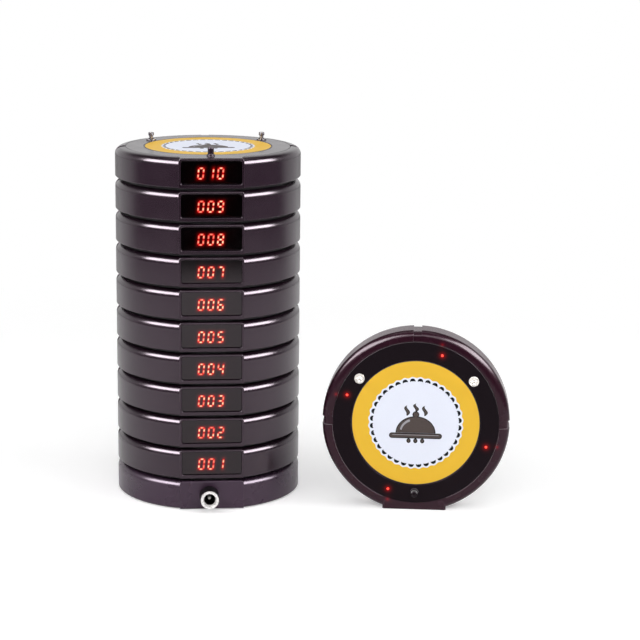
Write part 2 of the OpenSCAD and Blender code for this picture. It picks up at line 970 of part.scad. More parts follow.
base_cover();
base_bottom_plate();
base_anti_slip_pad();
base_circuit_board();
base_contact_studs();
base_screws();
base_dc_sleeve();
base_dc_barrel();
base_dc_pin();

for (i = [1:stack_count]) {
    on_stack(i) pager_cover(false);
    on_stack(i) pager_bottom_shell();
    on_stack(i) pager_contacts();
}

standing() pager_cover(true);  // loose_cover
standing() label_disc();  // loose_label
standing() window_lens();  // loose_window_lens
standing() display();  // loose_display
standing() pager_bottom_shell();  // loose_bottom_shell
standing() pager_studs();  // loose_contact_studs
standing() pager_plates();  // loose_contact_plates
standing() pager_board();  // loose_circuit_board
standing() indicator_lamps();  // loose_indicator_lamps
standing() battery();  // loose_battery
standing() vibration_motor();  // loose_vibration_motor
standing() motor_weight();  // loose_motor_weight
standing() buzzer();  // loose_buzzer
standing() pager_screws();  // loose_screws
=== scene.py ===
import json
import math
import bmesh
import bpy
from mathutils import Euler, Matrix, Vector

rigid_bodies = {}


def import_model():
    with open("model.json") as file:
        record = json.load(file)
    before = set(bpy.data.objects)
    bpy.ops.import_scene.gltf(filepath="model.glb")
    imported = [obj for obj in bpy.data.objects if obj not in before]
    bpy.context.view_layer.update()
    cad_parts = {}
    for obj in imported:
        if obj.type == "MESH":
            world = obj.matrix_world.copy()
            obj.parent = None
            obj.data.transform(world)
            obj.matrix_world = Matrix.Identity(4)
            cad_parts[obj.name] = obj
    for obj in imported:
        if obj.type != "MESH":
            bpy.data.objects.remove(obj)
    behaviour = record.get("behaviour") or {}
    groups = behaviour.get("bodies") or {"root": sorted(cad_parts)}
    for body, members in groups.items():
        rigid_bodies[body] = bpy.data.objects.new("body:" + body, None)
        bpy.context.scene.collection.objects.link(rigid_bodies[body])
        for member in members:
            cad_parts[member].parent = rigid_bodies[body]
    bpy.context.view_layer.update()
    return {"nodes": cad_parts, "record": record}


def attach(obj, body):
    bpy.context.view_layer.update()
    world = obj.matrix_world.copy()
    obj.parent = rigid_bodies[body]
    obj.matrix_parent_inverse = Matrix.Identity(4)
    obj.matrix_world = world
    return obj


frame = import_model()
nodes = frame["nodes"]
subparts = frame["record"]["subparts"]

scene = bpy.context.scene
mm = 0.001

# sizes that the solids fix
pager = {
    "count": 10,
    "firstSeat": 17.3 * mm,
    "height": 19.1 * mm,
    "faceRadius": 49.012 * mm,
    "flat": 53 * mm,
    "windowHeight": 10.85 * mm,
}
looseSpot = {
    "place": (122 * mm, -41.5 * mm, 53 * mm),
    "turn": (math.radians(90), 0, math.radians(-9)),
}
looseMatrix = Matrix.LocRotScale(Vector(looseSpot["place"]), Euler(looseSpot["turn"]), None)


def seatMatrix(order):
    return Matrix.Translation((0, 0, pager["firstSeat"] + (order - 1) * pager["height"]))


everyPager = [(f"pager_{order:02d}", seatMatrix(order)) for order in range(1, pager["count"] + 1)]
stack = list(everyPager)
everyPager.append(("loose_pager", looseMatrix))


def clockwise(radius, degrees, z=0):  # a point counted clockwise from the back of a pager
    angle = math.radians(degrees)
    return Vector((radius * math.sin(angle), radius * math.cos(angle), z))


# camera at the photograph's viewing angle
camera = {
    "place": (-44.1 * mm, -1200 * mm, 372.7 * mm),
    "yaw": 0.0929,
    "pitch": 0.2211,
    "roll": 0.0107,
    "lens": 114.5,
    "sensor": 36,
    "clipEnd": 30,
}
cameraData = bpy.data.cameras.new("photoView")
cameraData.sensor_width = camera["sensor"]
cameraData.lens = camera["lens"]
cameraData.clip_end = camera["clipEnd"]
cameraObject = bpy.data.objects.new("photoView", cameraData)
cameraObject.location = camera["place"]
aim = Matrix.Rotation(-camera["yaw"], 3, "Z") @ Matrix.Rotation(math.pi / 2 - camera["pitch"], 3, "X")
aim = aim @ Matrix.Rotation(camera["roll"], 3, "Z")
cameraObject.rotation_euler = aim.to_euler()
scene.collection.objects.link(cameraObject)
scene.camera = cameraObject
scene.view_settings.view_transform = "Standard"

# soft light from four boxes, and two strips that are seen only as shine on the shoulders
softboxes = {
    "front": {"place": (0.05, -1.25, 1.05), "size": (0.9, 0.5), "power": 6.0},
    "left": {"place": (-1.05, -0.66, 0.98), "size": (1.5, 0.3), "power": 9.5},
    "right": {"place": (1.15, -0.66, 0.98), "size": (1.5, 0.3), "power": 9.5},
    "top": {"place": (0.05, 0.25, 1.6), "size": (1.1, 0.9), "power": 3.0},
    "leftGlint": {"place": (-0.785, -0.54, 0.87), "size": (1.4, 0.7), "power": 55.0, "glossOnly": True},
    "rightGlint": {"place": (0.885, -0.54, 0.87), "size": (1.4, 0.7), "power": 55.0, "glossOnly": True},
}
lookPoint = Vector((0.05, -0.02, 0.1))
for name, box in softboxes.items():
    lampData = bpy.data.lights.new(name + "Softbox", "AREA")
    lampData.shape = "RECTANGLE"
    lampData.size, lampData.size_y = box["size"]
    lampData.energy = box["power"]
    lamp = bpy.data.objects.new(name + "Softbox", lampData)
    lamp.location = box["place"]
    lamp.visible_diffuse = not box.get("glossOnly", False)
    lamp.rotation_euler = (lookPoint - Vector(box["place"])).to_track_quat("-Z", "Y").to_euler()
    scene.collection.objects.link(lamp)


# short forms that build the node trees
def put(tree, kind, values=None, **settings):
    node = tree.nodes.new(kind)
    for key, value in settings.items():
        setattr(node, key, value)
    for key, value in (values or {}).items():
        if isinstance(value, bpy.types.NodeSocket):
            tree.links.new(value, node.inputs[key])
        else:
            node.inputs[key].default_value = value
    return node


def maths(tree, operation, *values, clamp=False):
    node = put(tree, "ShaderNodeMath", dict(enumerate(values)), operation=operation, use_clamp=clamp)
    return node.outputs[0]


def times(tree, first, second, clamp=False):
    return maths(tree, "MULTIPLY", first, second, clamp=clamp)


def plus(tree, first, second, clamp=False):
    return maths(tree, "ADD", first, second, clamp=clamp)


def minus(tree, first, second):
    return maths(tree, "SUBTRACT", first, second)


def larger(tree, first, second):
    return maths(tree, "MAXIMUM", first, second)


def absolute(tree, value):
    return maths(tree, "ABSOLUTE", value)


def remap(tree, value, low, high, newLow=0.0, newHigh=1.0, smooth=False):
    ranges = {"Value": value, "From Min": low, "From Max": high, "To Min": newLow, "To Max": newHigh}
    kind = "SMOOTHSTEP" if smooth else "LINEAR"
    return put(tree, "ShaderNodeMapRange", ranges, interpolation_type=kind).outputs[0]


def vectorMaths(tree, operation, *values):
    outputs = put(tree, "ShaderNodeVectorMath", dict(enumerate(values)), operation=operation).outputs
    return outputs["Value"] if operation in ("LENGTH", "DISTANCE", "DOT_PRODUCT") else outputs[0]


def blend(tree, amount, first, second):
    node = put(tree, "ShaderNodeMix", data_type="RGBA")
    for socket, value in ((node.inputs[0], amount), (node.inputs[6], first), (node.inputs[7], second)):
        if isinstance(value, bpy.types.NodeSocket):
            tree.links.new(value, socket)
        else:
            socket.default_value = (*value, 1) if isinstance(value, tuple) else value
    return node.outputs[2]


def objectSpot(tree):
    return put(tree, "ShaderNodeTexCoord").outputs["Object"]


noiseRange = (0.3, 0.7)  # most of a noise texture lies between these


def noise(tree, spot, scale, detail=2.0):
    return put(tree, "ShaderNodeTexNoise", {"Vector": spot, "Scale": scale, "Detail": detail}).outputs[0]


def emission(tree, colour, strength):
    return put(tree, "ShaderNodeEmission", {"Color": colour, "Strength": strength}).outputs[0]


def mixShaders(tree, amount, first, second):
    return put(tree, "ShaderNodeMixShader", {0: amount, 1: first, 2: second}).outputs[0]


def addShaders(tree, first, second):
    return put(tree, "ShaderNodeAddShader", {0: first, 1: second}).outputs[0]


# the pale room: white to the camera, but shine sees it dark in front and brighter to the sides and behind
backdrop = {
    "camera": 1.0,
    "fill": 0.36,
    "front": 0.03,
    "sides": 0.2,
    "behind": 0.92,
    "overhead": 0.05,
    "turnsBehind": (-0.1, 0.62),
    "turnsOverhead": (0.3, 0.65),
    "depthShare": 0.6,
    "turnsAside": (-0.1, 0.2),
}


def beside(tree, right, back):  # 0 straight in front of or behind the object, 1 to its sides
    offset = minus(tree, absolute(tree, right), times(tree, absolute(tree, back), backdrop["depthShare"]))
    return remap(tree, offset, *backdrop["turnsAside"], smooth=True)


world = bpy.data.worlds.new("paleRoom")
scene.world = world
world.use_nodes = True
tree = world.node_tree
tree.nodes.clear()
path = put(tree, "ShaderNodeLightPath").outputs
way = put(tree, "ShaderNodeSeparateXYZ", {0: put(tree, "ShaderNodeTexCoord").outputs["Generated"]}).outputs
ahead = remap(tree, beside(tree, way[0], way[1]), 0.0, 1.0, backdrop["front"], backdrop["sides"])
around = remap(tree, way[1], *backdrop["turnsBehind"], ahead, backdrop["behind"], smooth=True)
mirrored = remap(tree, way[2], *backdrop["turnsOverhead"], around, backdrop["overhead"], smooth=True)
soft = times(tree, minus(tree, 1.0, path["Is Glossy Ray"]), backdrop["fill"])
lit = plus(tree, times(tree, path["Is Glossy Ray"], mirrored), soft)
strength = larger(tree, lit, times(tree, path["Is Camera Ray"], backdrop["camera"]))
strength = larger(tree, strength, path["Is Transmission Ray"])
background = put(tree, "ShaderNodeBackground", {"Color": (1, 1, 1, 1), "Strength": strength})
tree.links.new(background.outputs[0], put(tree, "ShaderNodeOutputWorld").inputs[0])

# the pale floor: it keeps the shadow, fades into the white room, and ends in the dark horizon for shine
floor = {
    "half": 4.0,
    "colour": (0.86, 0.86, 0.86),
    "lift": 0.3,
    "fades": (0.28, 0.6),
    "tableRadius": 0.77,
    "edgeBlur": 0.09,
    "sheet": (0.1, 0.5),
    "sideGlow": 0.32,
    "dark": (0.008, 0.007, 0.008),
    "dim": (0.24, 0.17, 0.23),
}
half = floor["half"]
floorMesh = bpy.data.meshes.new("floor")
floorCorners = [(-half, -half, 0), (half, -half, 0), (half, half, 0), (-half, half, 0)]
floorMesh.from_pydata(floorCorners, [], [(0, 1, 2, 3)])
floorObject = bpy.data.objects.new("floor", floorMesh)
scene.collection.objects.link(floorObject)

paleFloor = bpy.data.materials.new("paleFloor")
paleFloor.use_nodes = True
tree = paleFloor.node_tree
tree.nodes.clear()
path = put(tree, "ShaderNodeLightPath").outputs
spot = objectSpot(tree)
depth = put(tree, "ShaderNodeSeparateXYZ", {0: spot}).outputs
distance = vectorMaths(tree, "LENGTH", spot)
far = remap(tree, distance, *floor["fades"], smooth=True)
tableEdge = (floor["tableRadius"] - floor["edgeBlur"], floor["tableRadius"] + floor["edgeBlur"])
beyond = remap(tree, distance, *tableEdge, smooth=True)
sheet = remap(tree, depth[1], *floor["sheet"], smooth=True)
table = larger(tree, minus(tree, 1.0, beyond), sheet)
aside = beside(tree, depth[0], depth[1])
white = (1, 1, 1, 1)
paint = put(tree, "ShaderNodeBsdfDiffuse", {"Color": (*floor["colour"], 1)}).outputs[0]
near = addShaders(tree, paint, emission(tree, white, floor["lift"]))
seen = mixShaders(tree, far, near, emission(tree, white, 1.0))
dark = emission(tree, blend(tree, aside, floor["dark"], floor["dim"]), 1.0)
pale = addShaders(tree, paint, emission(tree, white, times(tree, aside, floor["sideGlow"])))
other = mixShaders(tree, path["Is Glossy Ray"], paint, mixShaders(tree, table, dark, pale))
surface = mixShaders(tree, path["Is Camera Ray"], other, seen)
tree.links.new(surface, put(tree, "ShaderNodeOutputMaterial").inputs[0])
floorMesh.materials.append(paleFloor)
print("camera, lights and floor in place")


# effects that several finishes share
def newGroup(name, inputs, outputs):
    group = bpy.data.node_groups.new(name, "ShaderNodeTree")
    for label, value in inputs.items():
        kind = "NodeSocketVector" if isinstance(value, tuple) else "NodeSocketFloat"
        group.interface.new_socket(label, in_out="INPUT", socket_type=kind).default_value = value
    for label, kind in outputs.items():
        group.interface.new_socket(label, in_out="OUTPUT", socket_type="NodeSocket" + kind)
    return group, group.nodes.new("NodeGroupInput").outputs, group.nodes.new("NodeGroupOutput").inputs


def useGroup(tree, group, values=None):
    return put(tree, "ShaderNodeGroup", values, node_tree=group).outputs


def makeMouldedGrain():  # fine grain of a mould, with slow clouds over it
    inputs = {"Grain Size": 0.25 * mm, "Cloud Size": 14 * mm}
    tree, gives, takes = newGroup("mouldedGrain", inputs, {"Height": "Float", "Cloud": "Float"})
    spot = objectSpot(tree)
    fine = noise(tree, spot, maths(tree, "DIVIDE", 1.0, gives["Grain Size"]))
    slow = noise(tree, spot, maths(tree, "DIVIDE", 1.0, gives["Cloud Size"]), 4.0)
    tree.links.new(fine, takes["Height"])
    tree.links.new(remap(tree, slow, *noiseRange), takes["Cloud"])
    return tree


edgeWearAndHighlight = {"samples": 4, "straight": 0.995, "turned": 0.8, "patchScale": 180.0, "patches": (0.35, 0.65)}


def makeSoftEdge():  # rounds sharp edges in the light, and says where they are rubbed and where an edge highlight is painted
    inputs = {"Radius": 0.3 * mm, "Patchiness": 0.5}
    tree, gives, takes = newGroup("softEdge", inputs, {"Normal": "Vector", "RubbedAndHighlit": "Float"})
    bevel = put(tree, "ShaderNodeBevel", {"Radius": gives["Radius"]}, samples=edgeWearAndHighlight["samples"])
    rounded = bevel.outputs[0]
    facing = vectorMaths(tree, "DOT_PRODUCT", rounded, put(tree, "ShaderNodeNewGeometry").outputs["Normal"])
    edge = remap(tree, facing, edgeWearAndHighlight["straight"], edgeWearAndHighlight["turned"])
    keep = remap(tree, noise(tree, objectSpot(tree), edgeWearAndHighlight["patchScale"], 3.0), *edgeWearAndHighlight["patches"])
    keep = larger(tree, keep, minus(tree, 1.0, gives["Patchiness"]))
    tree.links.new(rounded, takes["Normal"])
    tree.links.new(times(tree, edge, keep, clamp=True), takes["RubbedAndHighlit"])
    return tree


dustLook = {"colour": (0.5, 0.48, 0.46), "speckScale": 900.0, "specks": (0.5, 0.75), "level": (0.5, 1.0)}


def makeRestingDust():  # a little dust, only where the surface looks up
    tree, gives, takes = newGroup("restingDust", {"Amount": 0.1}, {"Dust": "Float"})
    normal = put(tree, "ShaderNodeNewGeometry").outputs["Normal"]
    up = put(tree, "ShaderNodeSeparateXYZ", {0: normal}).outputs[2]
    speck = remap(tree, noise(tree, objectSpot(tree), dustLook["speckScale"], 4.0), *dustLook["specks"])
    dust = times(tree, remap(tree, up, *dustLook["level"]), speck)
    tree.links.new(times(tree, dust, gives["Amount"], clamp=True), takes["Dust"])
    return tree


def makeLampHalo():  # light of a lamp under a smoked face, falling off round one point
    inputs = {"Vector": (0, 0, 0), "Lamp": (0, 0, 0), "Reach": 1.0 * mm}
    tree, gives, takes = newGroup("lampHalo", inputs, {"Light": "Float"})
    away = vectorMaths(tree, "DISTANCE", gives["Vector"], gives["Lamp"])
    falling = times(tree, maths(tree, "DIVIDE", away, gives["Reach"]), -1.0)
    tree.links.new(maths(tree, "EXPONENT", falling), takes["Light"])
    return tree


mouldedGrain = makeMouldedGrain()
softEdge = makeSoftEdge()
restingDust = makeRestingDust()
lampHalo = makeLampHalo()


def newMaterial(name, **values):
    material = bpy.data.materials.new(name)
    material.use_nodes = True
    tree = material.node_tree
    shader = tree.nodes["Principled BSDF"]
    for label, value in values.items():
        value = (*value, 1) if isinstance(value, tuple) else value
        shader.inputs[label.replace("_", " ")].default_value = value
    return material, tree, shader


def feed(tree, shader, **links):
    for label, socket in links.items():
        tree.links.new(socket, shader.inputs[label.replace("_", " ")])


def bumped(tree, height, strength, distance, edge=None):
    values = {"Height": height, "Strength": strength, "Distance": distance}
    if edge:
        values["Normal"] = edge["Normal"]
    return put(tree, "ShaderNodeBump", values).outputs[0]


def shaded(colour, level):
    return tuple(part * level for part in colour)


# moulded plastics and rubber
plasticLooks = {
    "pager_plastic": {
        # the lighter edge colour is wear, and on the pager shells also a painted highlight along the edges
        "colour": (0.0085, 0.002, 0.0065), "wornAndHighlitEdge": (0.11, 0.06, 0.095), "wearAndEdgeHighlight": 0.6, "roughness": (0.2, 0.24),
        "grain": 0.22 * mm, "bump": 0.1, "edge": 0.5 * mm, "dust": 0.02,
        "ior": 1.6, "gloss": (1.0, 0.85, 0.96),
    },
    "base_cover_plastic": {
        "colour": (0.027, 0.012, 0.026), "wornAndHighlitEdge": (0.13, 0.08, 0.12), "wearAndEdgeHighlight": 0.6, "roughness": (0.26, 0.3),
        "grain": 0.22 * mm, "bump": 0.1, "edge": 0.5 * mm, "dust": 0.02,
        "ior": 1.55, "gloss": (1.0, 0.86, 1.0),
    },
    "black_plastic": {
        "colour": (0.011, 0.010, 0.011), "wornAndHighlitEdge": (0.05, 0.05, 0.05), "wearAndEdgeHighlight": 0.5, "roughness": (0.4, 0.5),
        "grain": 0.3 * mm, "bump": 0.5, "edge": 0.25 * mm, "dust": 0.03,
    },
    "pad_rubber": {
        "colour": (0.014, 0.014, 0.014), "wornAndHighlitEdge": (0.06, 0.06, 0.06), "wearAndEdgeHighlight": 0.5, "roughness": (0.75, 0.85),
        "grain": 0.6 * mm, "bump": 0.9, "edge": 0.3 * mm, "dust": 0.1,
    },
}
plasticShared = {"patchiness": 0.5, "cloudLevel": 1.12, "dustRoughness": 0.4, "grainDepth": 0.05 * mm}


def mouldedPlastic(name, look):
    tint = look.get("gloss", (1.0, 1.0, 1.0))
    material, tree, shader = newMaterial(name, IOR=look.get("ior", 1.5), Specular_Tint=tint)
    grain = useGroup(tree, mouldedGrain, {"Grain Size": look["grain"]})
    edge = useGroup(tree, softEdge, {"Radius": look["edge"], "Patchiness": plasticShared["patchiness"]})
    dust = useGroup(tree, restingDust, {"Amount": look["dust"]})["Dust"]
    cloudy = shaded(look["colour"], plasticShared["cloudLevel"])
    colour = blend(tree, grain["Cloud"], look["colour"], cloudy)
    # edges are coloured lighter: partly wear, partly a painted highlight along the edges
    colour = blend(tree, times(tree, edge["RubbedAndHighlit"], look["wearAndEdgeHighlight"]), colour, look["wornAndHighlitEdge"])
    colour = blend(tree, dust, colour, dustLook["colour"])
    roughness = remap(tree, grain["Cloud"], 0.0, 1.0, *look["roughness"])
    roughness = plus(tree, roughness, times(tree, dust, plasticShared["dustRoughness"]), clamp=True)
    bump = bumped(tree, grain["Height"], look["bump"], plasticShared["grainDepth"], edge)
    feed(tree, shader, Base_Color=colour, Roughness=roughness, Normal=bump)
    return material


finishes = {slot: mouldedPlastic(slot + "Finish", look) for slot, look in plasticLooks.items()}


def localSpot(tree):  # coordinates in the loose pager's own frame
    values = {"Vector": objectSpot(tree), "Location": looseSpot["place"], "Rotation": looseSpot["turn"]}
    return put(tree, "ShaderNodeMapping", values, vector_type="TEXTURE").outputs[0]


def fromAxis(tree, spot):  # distance from a pager's axis
    return vectorMaths(tree, "LENGTH", vectorMaths(tree, "MULTIPLY", spot, (1, 1, 0)))


# the loose pager's smoked cover: black gloss face, burgundy rim, lamp light showing through, and painted
# reflections of the lamps on the rim
smoked = {
    "face": (0.003, 0.002, 0.0028),
    "rim": (0.02, 0.0035, 0.0095),
    "wornAndHighlitEdge": (0.07, 0.03, 0.045),
    "wearAndEdgeHighlight": 0.5,
    "faceRoughness": 0.12,
    "rimRoughness": 0.24,
    "cloudRoughness": 0.05,
    "rimCoat": 0.38,
    "rimBlur": 0.6 * mm,
    "grain": 0.2 * mm,
    "bump": 0.12,
    "edge": 0.35 * mm,
    "patchiness": 0.4,
    "dust": 0.06,
    "lampRadius": 43.5 * mm,
    "lampAngles": (19.6, 108, 201, 291.5),
    "lampReach": 0.7 * mm,
    "lampLight": (1.0, 0.012, 0.006),
    # painted reflections of the four lamps: faint red spots emitted on the rim
    "lampReflectionRadius": 49.6 * mm,
    "lampReflectionTurn": -2.5,
    "lampReflectionReach": 0.6 * mm,
    "lampReflectionLevel": 0.3,
}


def smokedFinish():
    material, tree, shader = newMaterial("smokedFinish", IOR=1.22, Specular_Tint=(1.0, 0.72, 0.88),
                                         Coat_IOR=1.5, Coat_Roughness=0.16, Coat_Tint=(1.0, 0.8, 0.9),
                                         Emission_Strength=1.0)
    spot = localSpot(tree)
    rimFrom = pager["faceRadius"] - smoked["rimBlur"]
    rim = remap(tree, fromAxis(tree, spot), rimFrom, pager["faceRadius"], smooth=True)
    grain = useGroup(tree, mouldedGrain, {"Grain Size": smoked["grain"]})
    edge = useGroup(tree, softEdge, {"Radius": smoked["edge"], "Patchiness": smoked["patchiness"]})
    dust = useGroup(tree, restingDust, {"Amount": smoked["dust"]})["Dust"]
    colour = blend(tree, rim, smoked["face"], smoked["rim"])
    # edges are coloured lighter: partly wear, partly a painted highlight along the edges
    colour = blend(tree, times(tree, edge["RubbedAndHighlit"], smoked["wearAndEdgeHighlight"]), colour, smoked["wornAndHighlitEdge"])
    colour = blend(tree, dust, colour, dustLook["colour"])
    roughness = remap(tree, rim, 0.0, 1.0, smoked["faceRoughness"], smoked["rimRoughness"])
    roughness = plus(tree, roughness, times(tree, grain["Cloud"], smoked["cloudRoughness"]))
    lights = []
    # each lamp glows through the face, and also gets a painted reflection emitted on the rim beside it
    for angle in smoked["lampAngles"]:
        lights.append((smoked["lampRadius"], angle, smoked["lampReach"], 1.0))
        lampReflectionAngle = angle + smoked["lampReflectionTurn"]
        lights.append((smoked["lampReflectionRadius"], lampReflectionAngle, smoked["lampReflectionReach"], smoked["lampReflectionLevel"]))
    lampGlowAndReflections = 0.0
    for radius, angle, reach, level in lights:
        lampSpot = clockwise(radius, angle, pager["height"])
        light = useGroup(tree, lampHalo, {"Vector": spot, "Lamp": lampSpot, "Reach": reach})["Light"]
        lampGlowAndReflections = plus(tree, lampGlowAndReflections, times(tree, light, level))
    bump = bumped(tree, grain["Height"], smoked["bump"], plasticShared["grainDepth"], edge)
    feed(tree, shader, Base_Color=colour, Roughness=roughness, Normal=bump,
         Coat_Weight=times(tree, rim, smoked["rimCoat"]),
         Emission_Color=blend(tree, lampGlowAndReflections, (0.0, 0.0, 0.0), smoked["lampLight"]))
    return material


finishes["smoked_plastic"] = smokedFinish()

# dark windows, with a painted red glow near the lit segments, which the pane emits as light
windowLook = {
    "colours": ((0.0004, 0.0002, 0.0003), (0.001, 0.0005, 0.0007)),
    # colour of the painted glow that the pane emits near lit strokes
    "paintedGlow": (0.22, 0.002, 0.001),
    "roughness": (0.04, 0.09),
    "smear": 120.0,
    "edge": 0.2 * mm,
}


def windowFinish():
    material, tree, shader = newMaterial("windowFinish", IOR=1.55, Specular_Tint=(1.0, 0.86, 0.93),
                                         Emission_Strength=1.0)
    # painted glow: the pane emits red light near the lit strokes, as the stored attribute says
    paintedGlow = put(tree, "ShaderNodeAttribute", attribute_name="paintedGlow").outputs["Fac"]
    smear = noise(tree, objectSpot(tree), windowLook["smear"], 4.0)
    feed(tree, shader, Base_Color=blend(tree, smear, *windowLook["colours"]),
         Roughness=remap(tree, smear, *noiseRange, *windowLook["roughness"]),
         Normal=useGroup(tree, softEdge, {"Radius": windowLook["edge"]})["Normal"],
         Emission_Color=blend(tree, paintedGlow, (0.0, 0.0, 0.0), windowLook["paintedGlow"]))
    return material


finishes["window_plastic"] = windowFinish()

# lit strokes: red, with a yellow heart
strokeLook = {
    "rim": (0.72, 0.004, 0.004),
    "heart": (1.0, 0.86, 0.5),
    "patch": 260.0,
    "patches": (0.35, 0.62),
    "patchLevels": (0.3, 1.3),
    "strength": 1.15,
}


def litStroke():
    material, tree, shader = newMaterial("strokeFinish", Base_Color=(0.1, 0.0, 0.0), Roughness=0.3,
                                         Emission_Strength=strokeLook["strength"])
    heart = put(tree, "ShaderNodeAttribute", attribute_name="heart").outputs["Fac"]
    mottle = noise(tree, objectSpot(tree), strokeLook["patch"], 1.0)
    level = remap(tree, mottle, *strokeLook["patches"], *strokeLook["patchLevels"])
    heart = times(tree, heart, level, clamp=True)
    feed(tree, shader, Emission_Color=blend(tree, heart, strokeLook["rim"], strokeLook["heart"]))
    return material


strokeFinish = litStroke()

displayLook = {"mesh": 700.0, "dark": (0.015, 0.014, 0.015), "pale": (0.05, 0.045, 0.045)}


def displayFinish():
    material, tree, shader = newMaterial("displayFinish", Roughness=0.45)
    mesh = noise(tree, objectSpot(tree), displayLook["mesh"])
    feed(tree, shader, Base_Color=blend(tree, mesh, displayLook["dark"], displayLook["pale"]))
    return material


finishes["display_plastic"] = displayFinish()

# printed label: white middle, yellow ring, and a thin dark rim that is painted shade of the recess round it
labelLook = {
    "white": (0.79, 0.82, 0.93),
    "yellow": (0.80, 0.48, 0.04),
    # painted shade of the recess round the label, as a thin dark rim
    "dark": (0.03, 0.035, 0.06),
    "fibre": (0.35, 0.3, 0.25),
    "whiteRadius": 27.6 * mm,
    "yellowRadius": 37.25 * mm,
    "blur": 0.04 * mm,
    "scallop": 0.35 * mm,
    "scallops": 36,
    "fibreScale": 2600.0,
    "fibreDepth": 0.02 * mm,
    "fibreBump": 0.08,
    "fibres": (0.45, 0.8),
    "fibreLevel": 0.06,
    "blotScale": 60.0,
    "roughness": (0.38, 0.48),
}


def labelFilm(name, loose):
    material, tree, shader = newMaterial(name, IOR=1.16)
    spot = localSpot(tree) if loose else objectSpot(tree)
    radius = fromAxis(tree, spot)
    fibre = noise(tree, spot, labelLook["fibreScale"], 3.0)
    blot = noise(tree, spot, labelLook["blotScale"])
    across = put(tree, "ShaderNodeSeparateXYZ", {0: spot}).outputs
    turn = times(tree, maths(tree, "ARCTAN2", across[1], across[0]), labelLook["scallops"])
    wavy = plus(tree, radius, times(tree, maths(tree, "COSINE", turn), labelLook["scallop"]))
    blur = labelLook["blur"]
    yellow = remap(tree, wavy, labelLook["whiteRadius"] - blur, labelLook["whiteRadius"] + blur)
    # painted shade: the thin dark rim at the label's edge
    dark = remap(tree, radius, labelLook["yellowRadius"] - blur, labelLook["yellowRadius"] + blur)
    colour = blend(tree, yellow, labelLook["white"], labelLook["yellow"])
    colour = blend(tree, dark, colour, labelLook["dark"])
    specks = remap(tree, fibre, *labelLook["fibres"], 0.0, labelLook["fibreLevel"])
    colour = blend(tree, specks, colour, labelLook["fibre"])
    feed(tree, shader, Base_Color=colour, Roughness=remap(tree, blot, *noiseRange, *labelLook["roughness"]),
         Normal=bumped(tree, fibre, labelLook["fibreBump"], labelLook["fibreDepth"]))
    return material


finishes["label_film"] = labelFilm("looseLabelFinish", True)
stackLabelFinish = labelFilm("stackLabelFinish", False)

inkLooks = {"blackInk": (0.006, 0.007, 0.01), "brownInk": (0.08, 0.062, 0.058), "greyInk": (0.34, 0.33, 0.35)}
inkShared = {"screen": 1500.0, "levels": (0.8, 1.2), "roughness": (0.36, 0.46)}


def printedInk(name, colour):
    material, tree, shader = newMaterial(name, IOR=1.2)
    screen = noise(tree, objectSpot(tree), inkShared["screen"])
    thin, full = (shaded(colour, level) for level in inkShared["levels"])
    feed(tree, shader, Base_Color=blend(tree, screen, thin, full),
         Roughness=remap(tree, screen, *noiseRange, *inkShared["roughness"]))
    return material


inks = {name: printedInk(name, colour) for name, colour in inkLooks.items()}

# metals, with lines along the way they were drawn or rolled
metalLooks = {
    "stud_metal": {
        "colour": (0.9, 0.85, 0.8), "roughness": (0.22, 0.3),
        "stretch": (1, 1, 6), "bump": 0.1, "metallic": 0.6,
    },
    "plate_brass": {
        "colour": (0.8, 0.58, 0.22), "roughness": (0.2, 0.34),
        "stretch": (1, 6, 1), "bump": 0.15,
    },
    "screw_metal": {
        "colour": (0.2, 0.19, 0.19), "roughness": (0.3, 0.45),
        "stretch": (1, 1, 5), "bump": 0.25,
    },
    "inlet_nickel": {
        "colour": (0.88, 0.86, 0.82), "roughness": (0.08, 0.18),
        "stretch": (1, 5, 1), "bump": 0.1,
    },
    "battery_foil": {
        "colour": (0.62, 0.64, 0.68), "roughness": (0.3, 0.42),
        "stretch": (1, 8, 1), "bump": 0.3,
    },
    "motor_steel": {
        "colour": (0.6, 0.6, 0.62), "roughness": (0.22, 0.34),
        "stretch": (1, 6, 1), "bump": 0.2,
    },
    "weight_metal": {
        "colour": (0.34, 0.31, 0.28), "roughness": (0.45, 0.6),
        "stretch": (1, 1, 1), "bump": 0.5,
    },
}
metalShared = {
    "lineScale": 1000.0,
    "depth": 0.02 * mm,
    "stainScale": 320.0,
    "stained": 0.6,
    "stains": (0.45, 0.75),
    "edge": 0.12 * mm,
    "patchiness": 0.2,
}


def platedMetal(name, look):
    material, tree, shader = newMaterial(name, Metallic=look.get("metallic", 1.0))
    spot = objectSpot(tree)
    stretched = put(tree, "ShaderNodeMapping", {"Vector": spot, "Scale": look["stretch"]}).outputs[0]
    lines = noise(tree, stretched, metalShared["lineScale"])
    stain = noise(tree, spot, metalShared["stainScale"], 3.0)
    edge = useGroup(tree, softEdge, {"Radius": metalShared["edge"], "Patchiness": metalShared["patchiness"]})
    stained = shaded(look["colour"], metalShared["stained"])
    stains = remap(tree, stain, *metalShared["stains"])
    feed(tree, shader, Base_Color=blend(tree, stains, look["colour"], stained),
         Roughness=remap(tree, stain, *noiseRange, *look["roughness"]),
         Normal=bumped(tree, lines, look["bump"], metalShared["depth"], edge))
    return material


for slot, look in metalLooks.items():
    finishes[slot] = platedMetal(slot + "Finish", look)

# green board: solder mask over tracks, with dots for the vias
boardLook = {
    "Scale": 260.0,
    "Mortar Size": 0.03,
    "Color1": (0.016, 0.085, 0.03, 1),
    "Color2": (0.022, 0.11, 0.04, 1),
    "Mortar": (0.012, 0.06, 0.022, 1),
}
viaLook = {"scale": 240.0, "colour": (0.5, 0.47, 0.4), "edge": (0.14, 0.1), "dull": (0.1, 0.3),
           "roughness": (0.25, 0.38)}


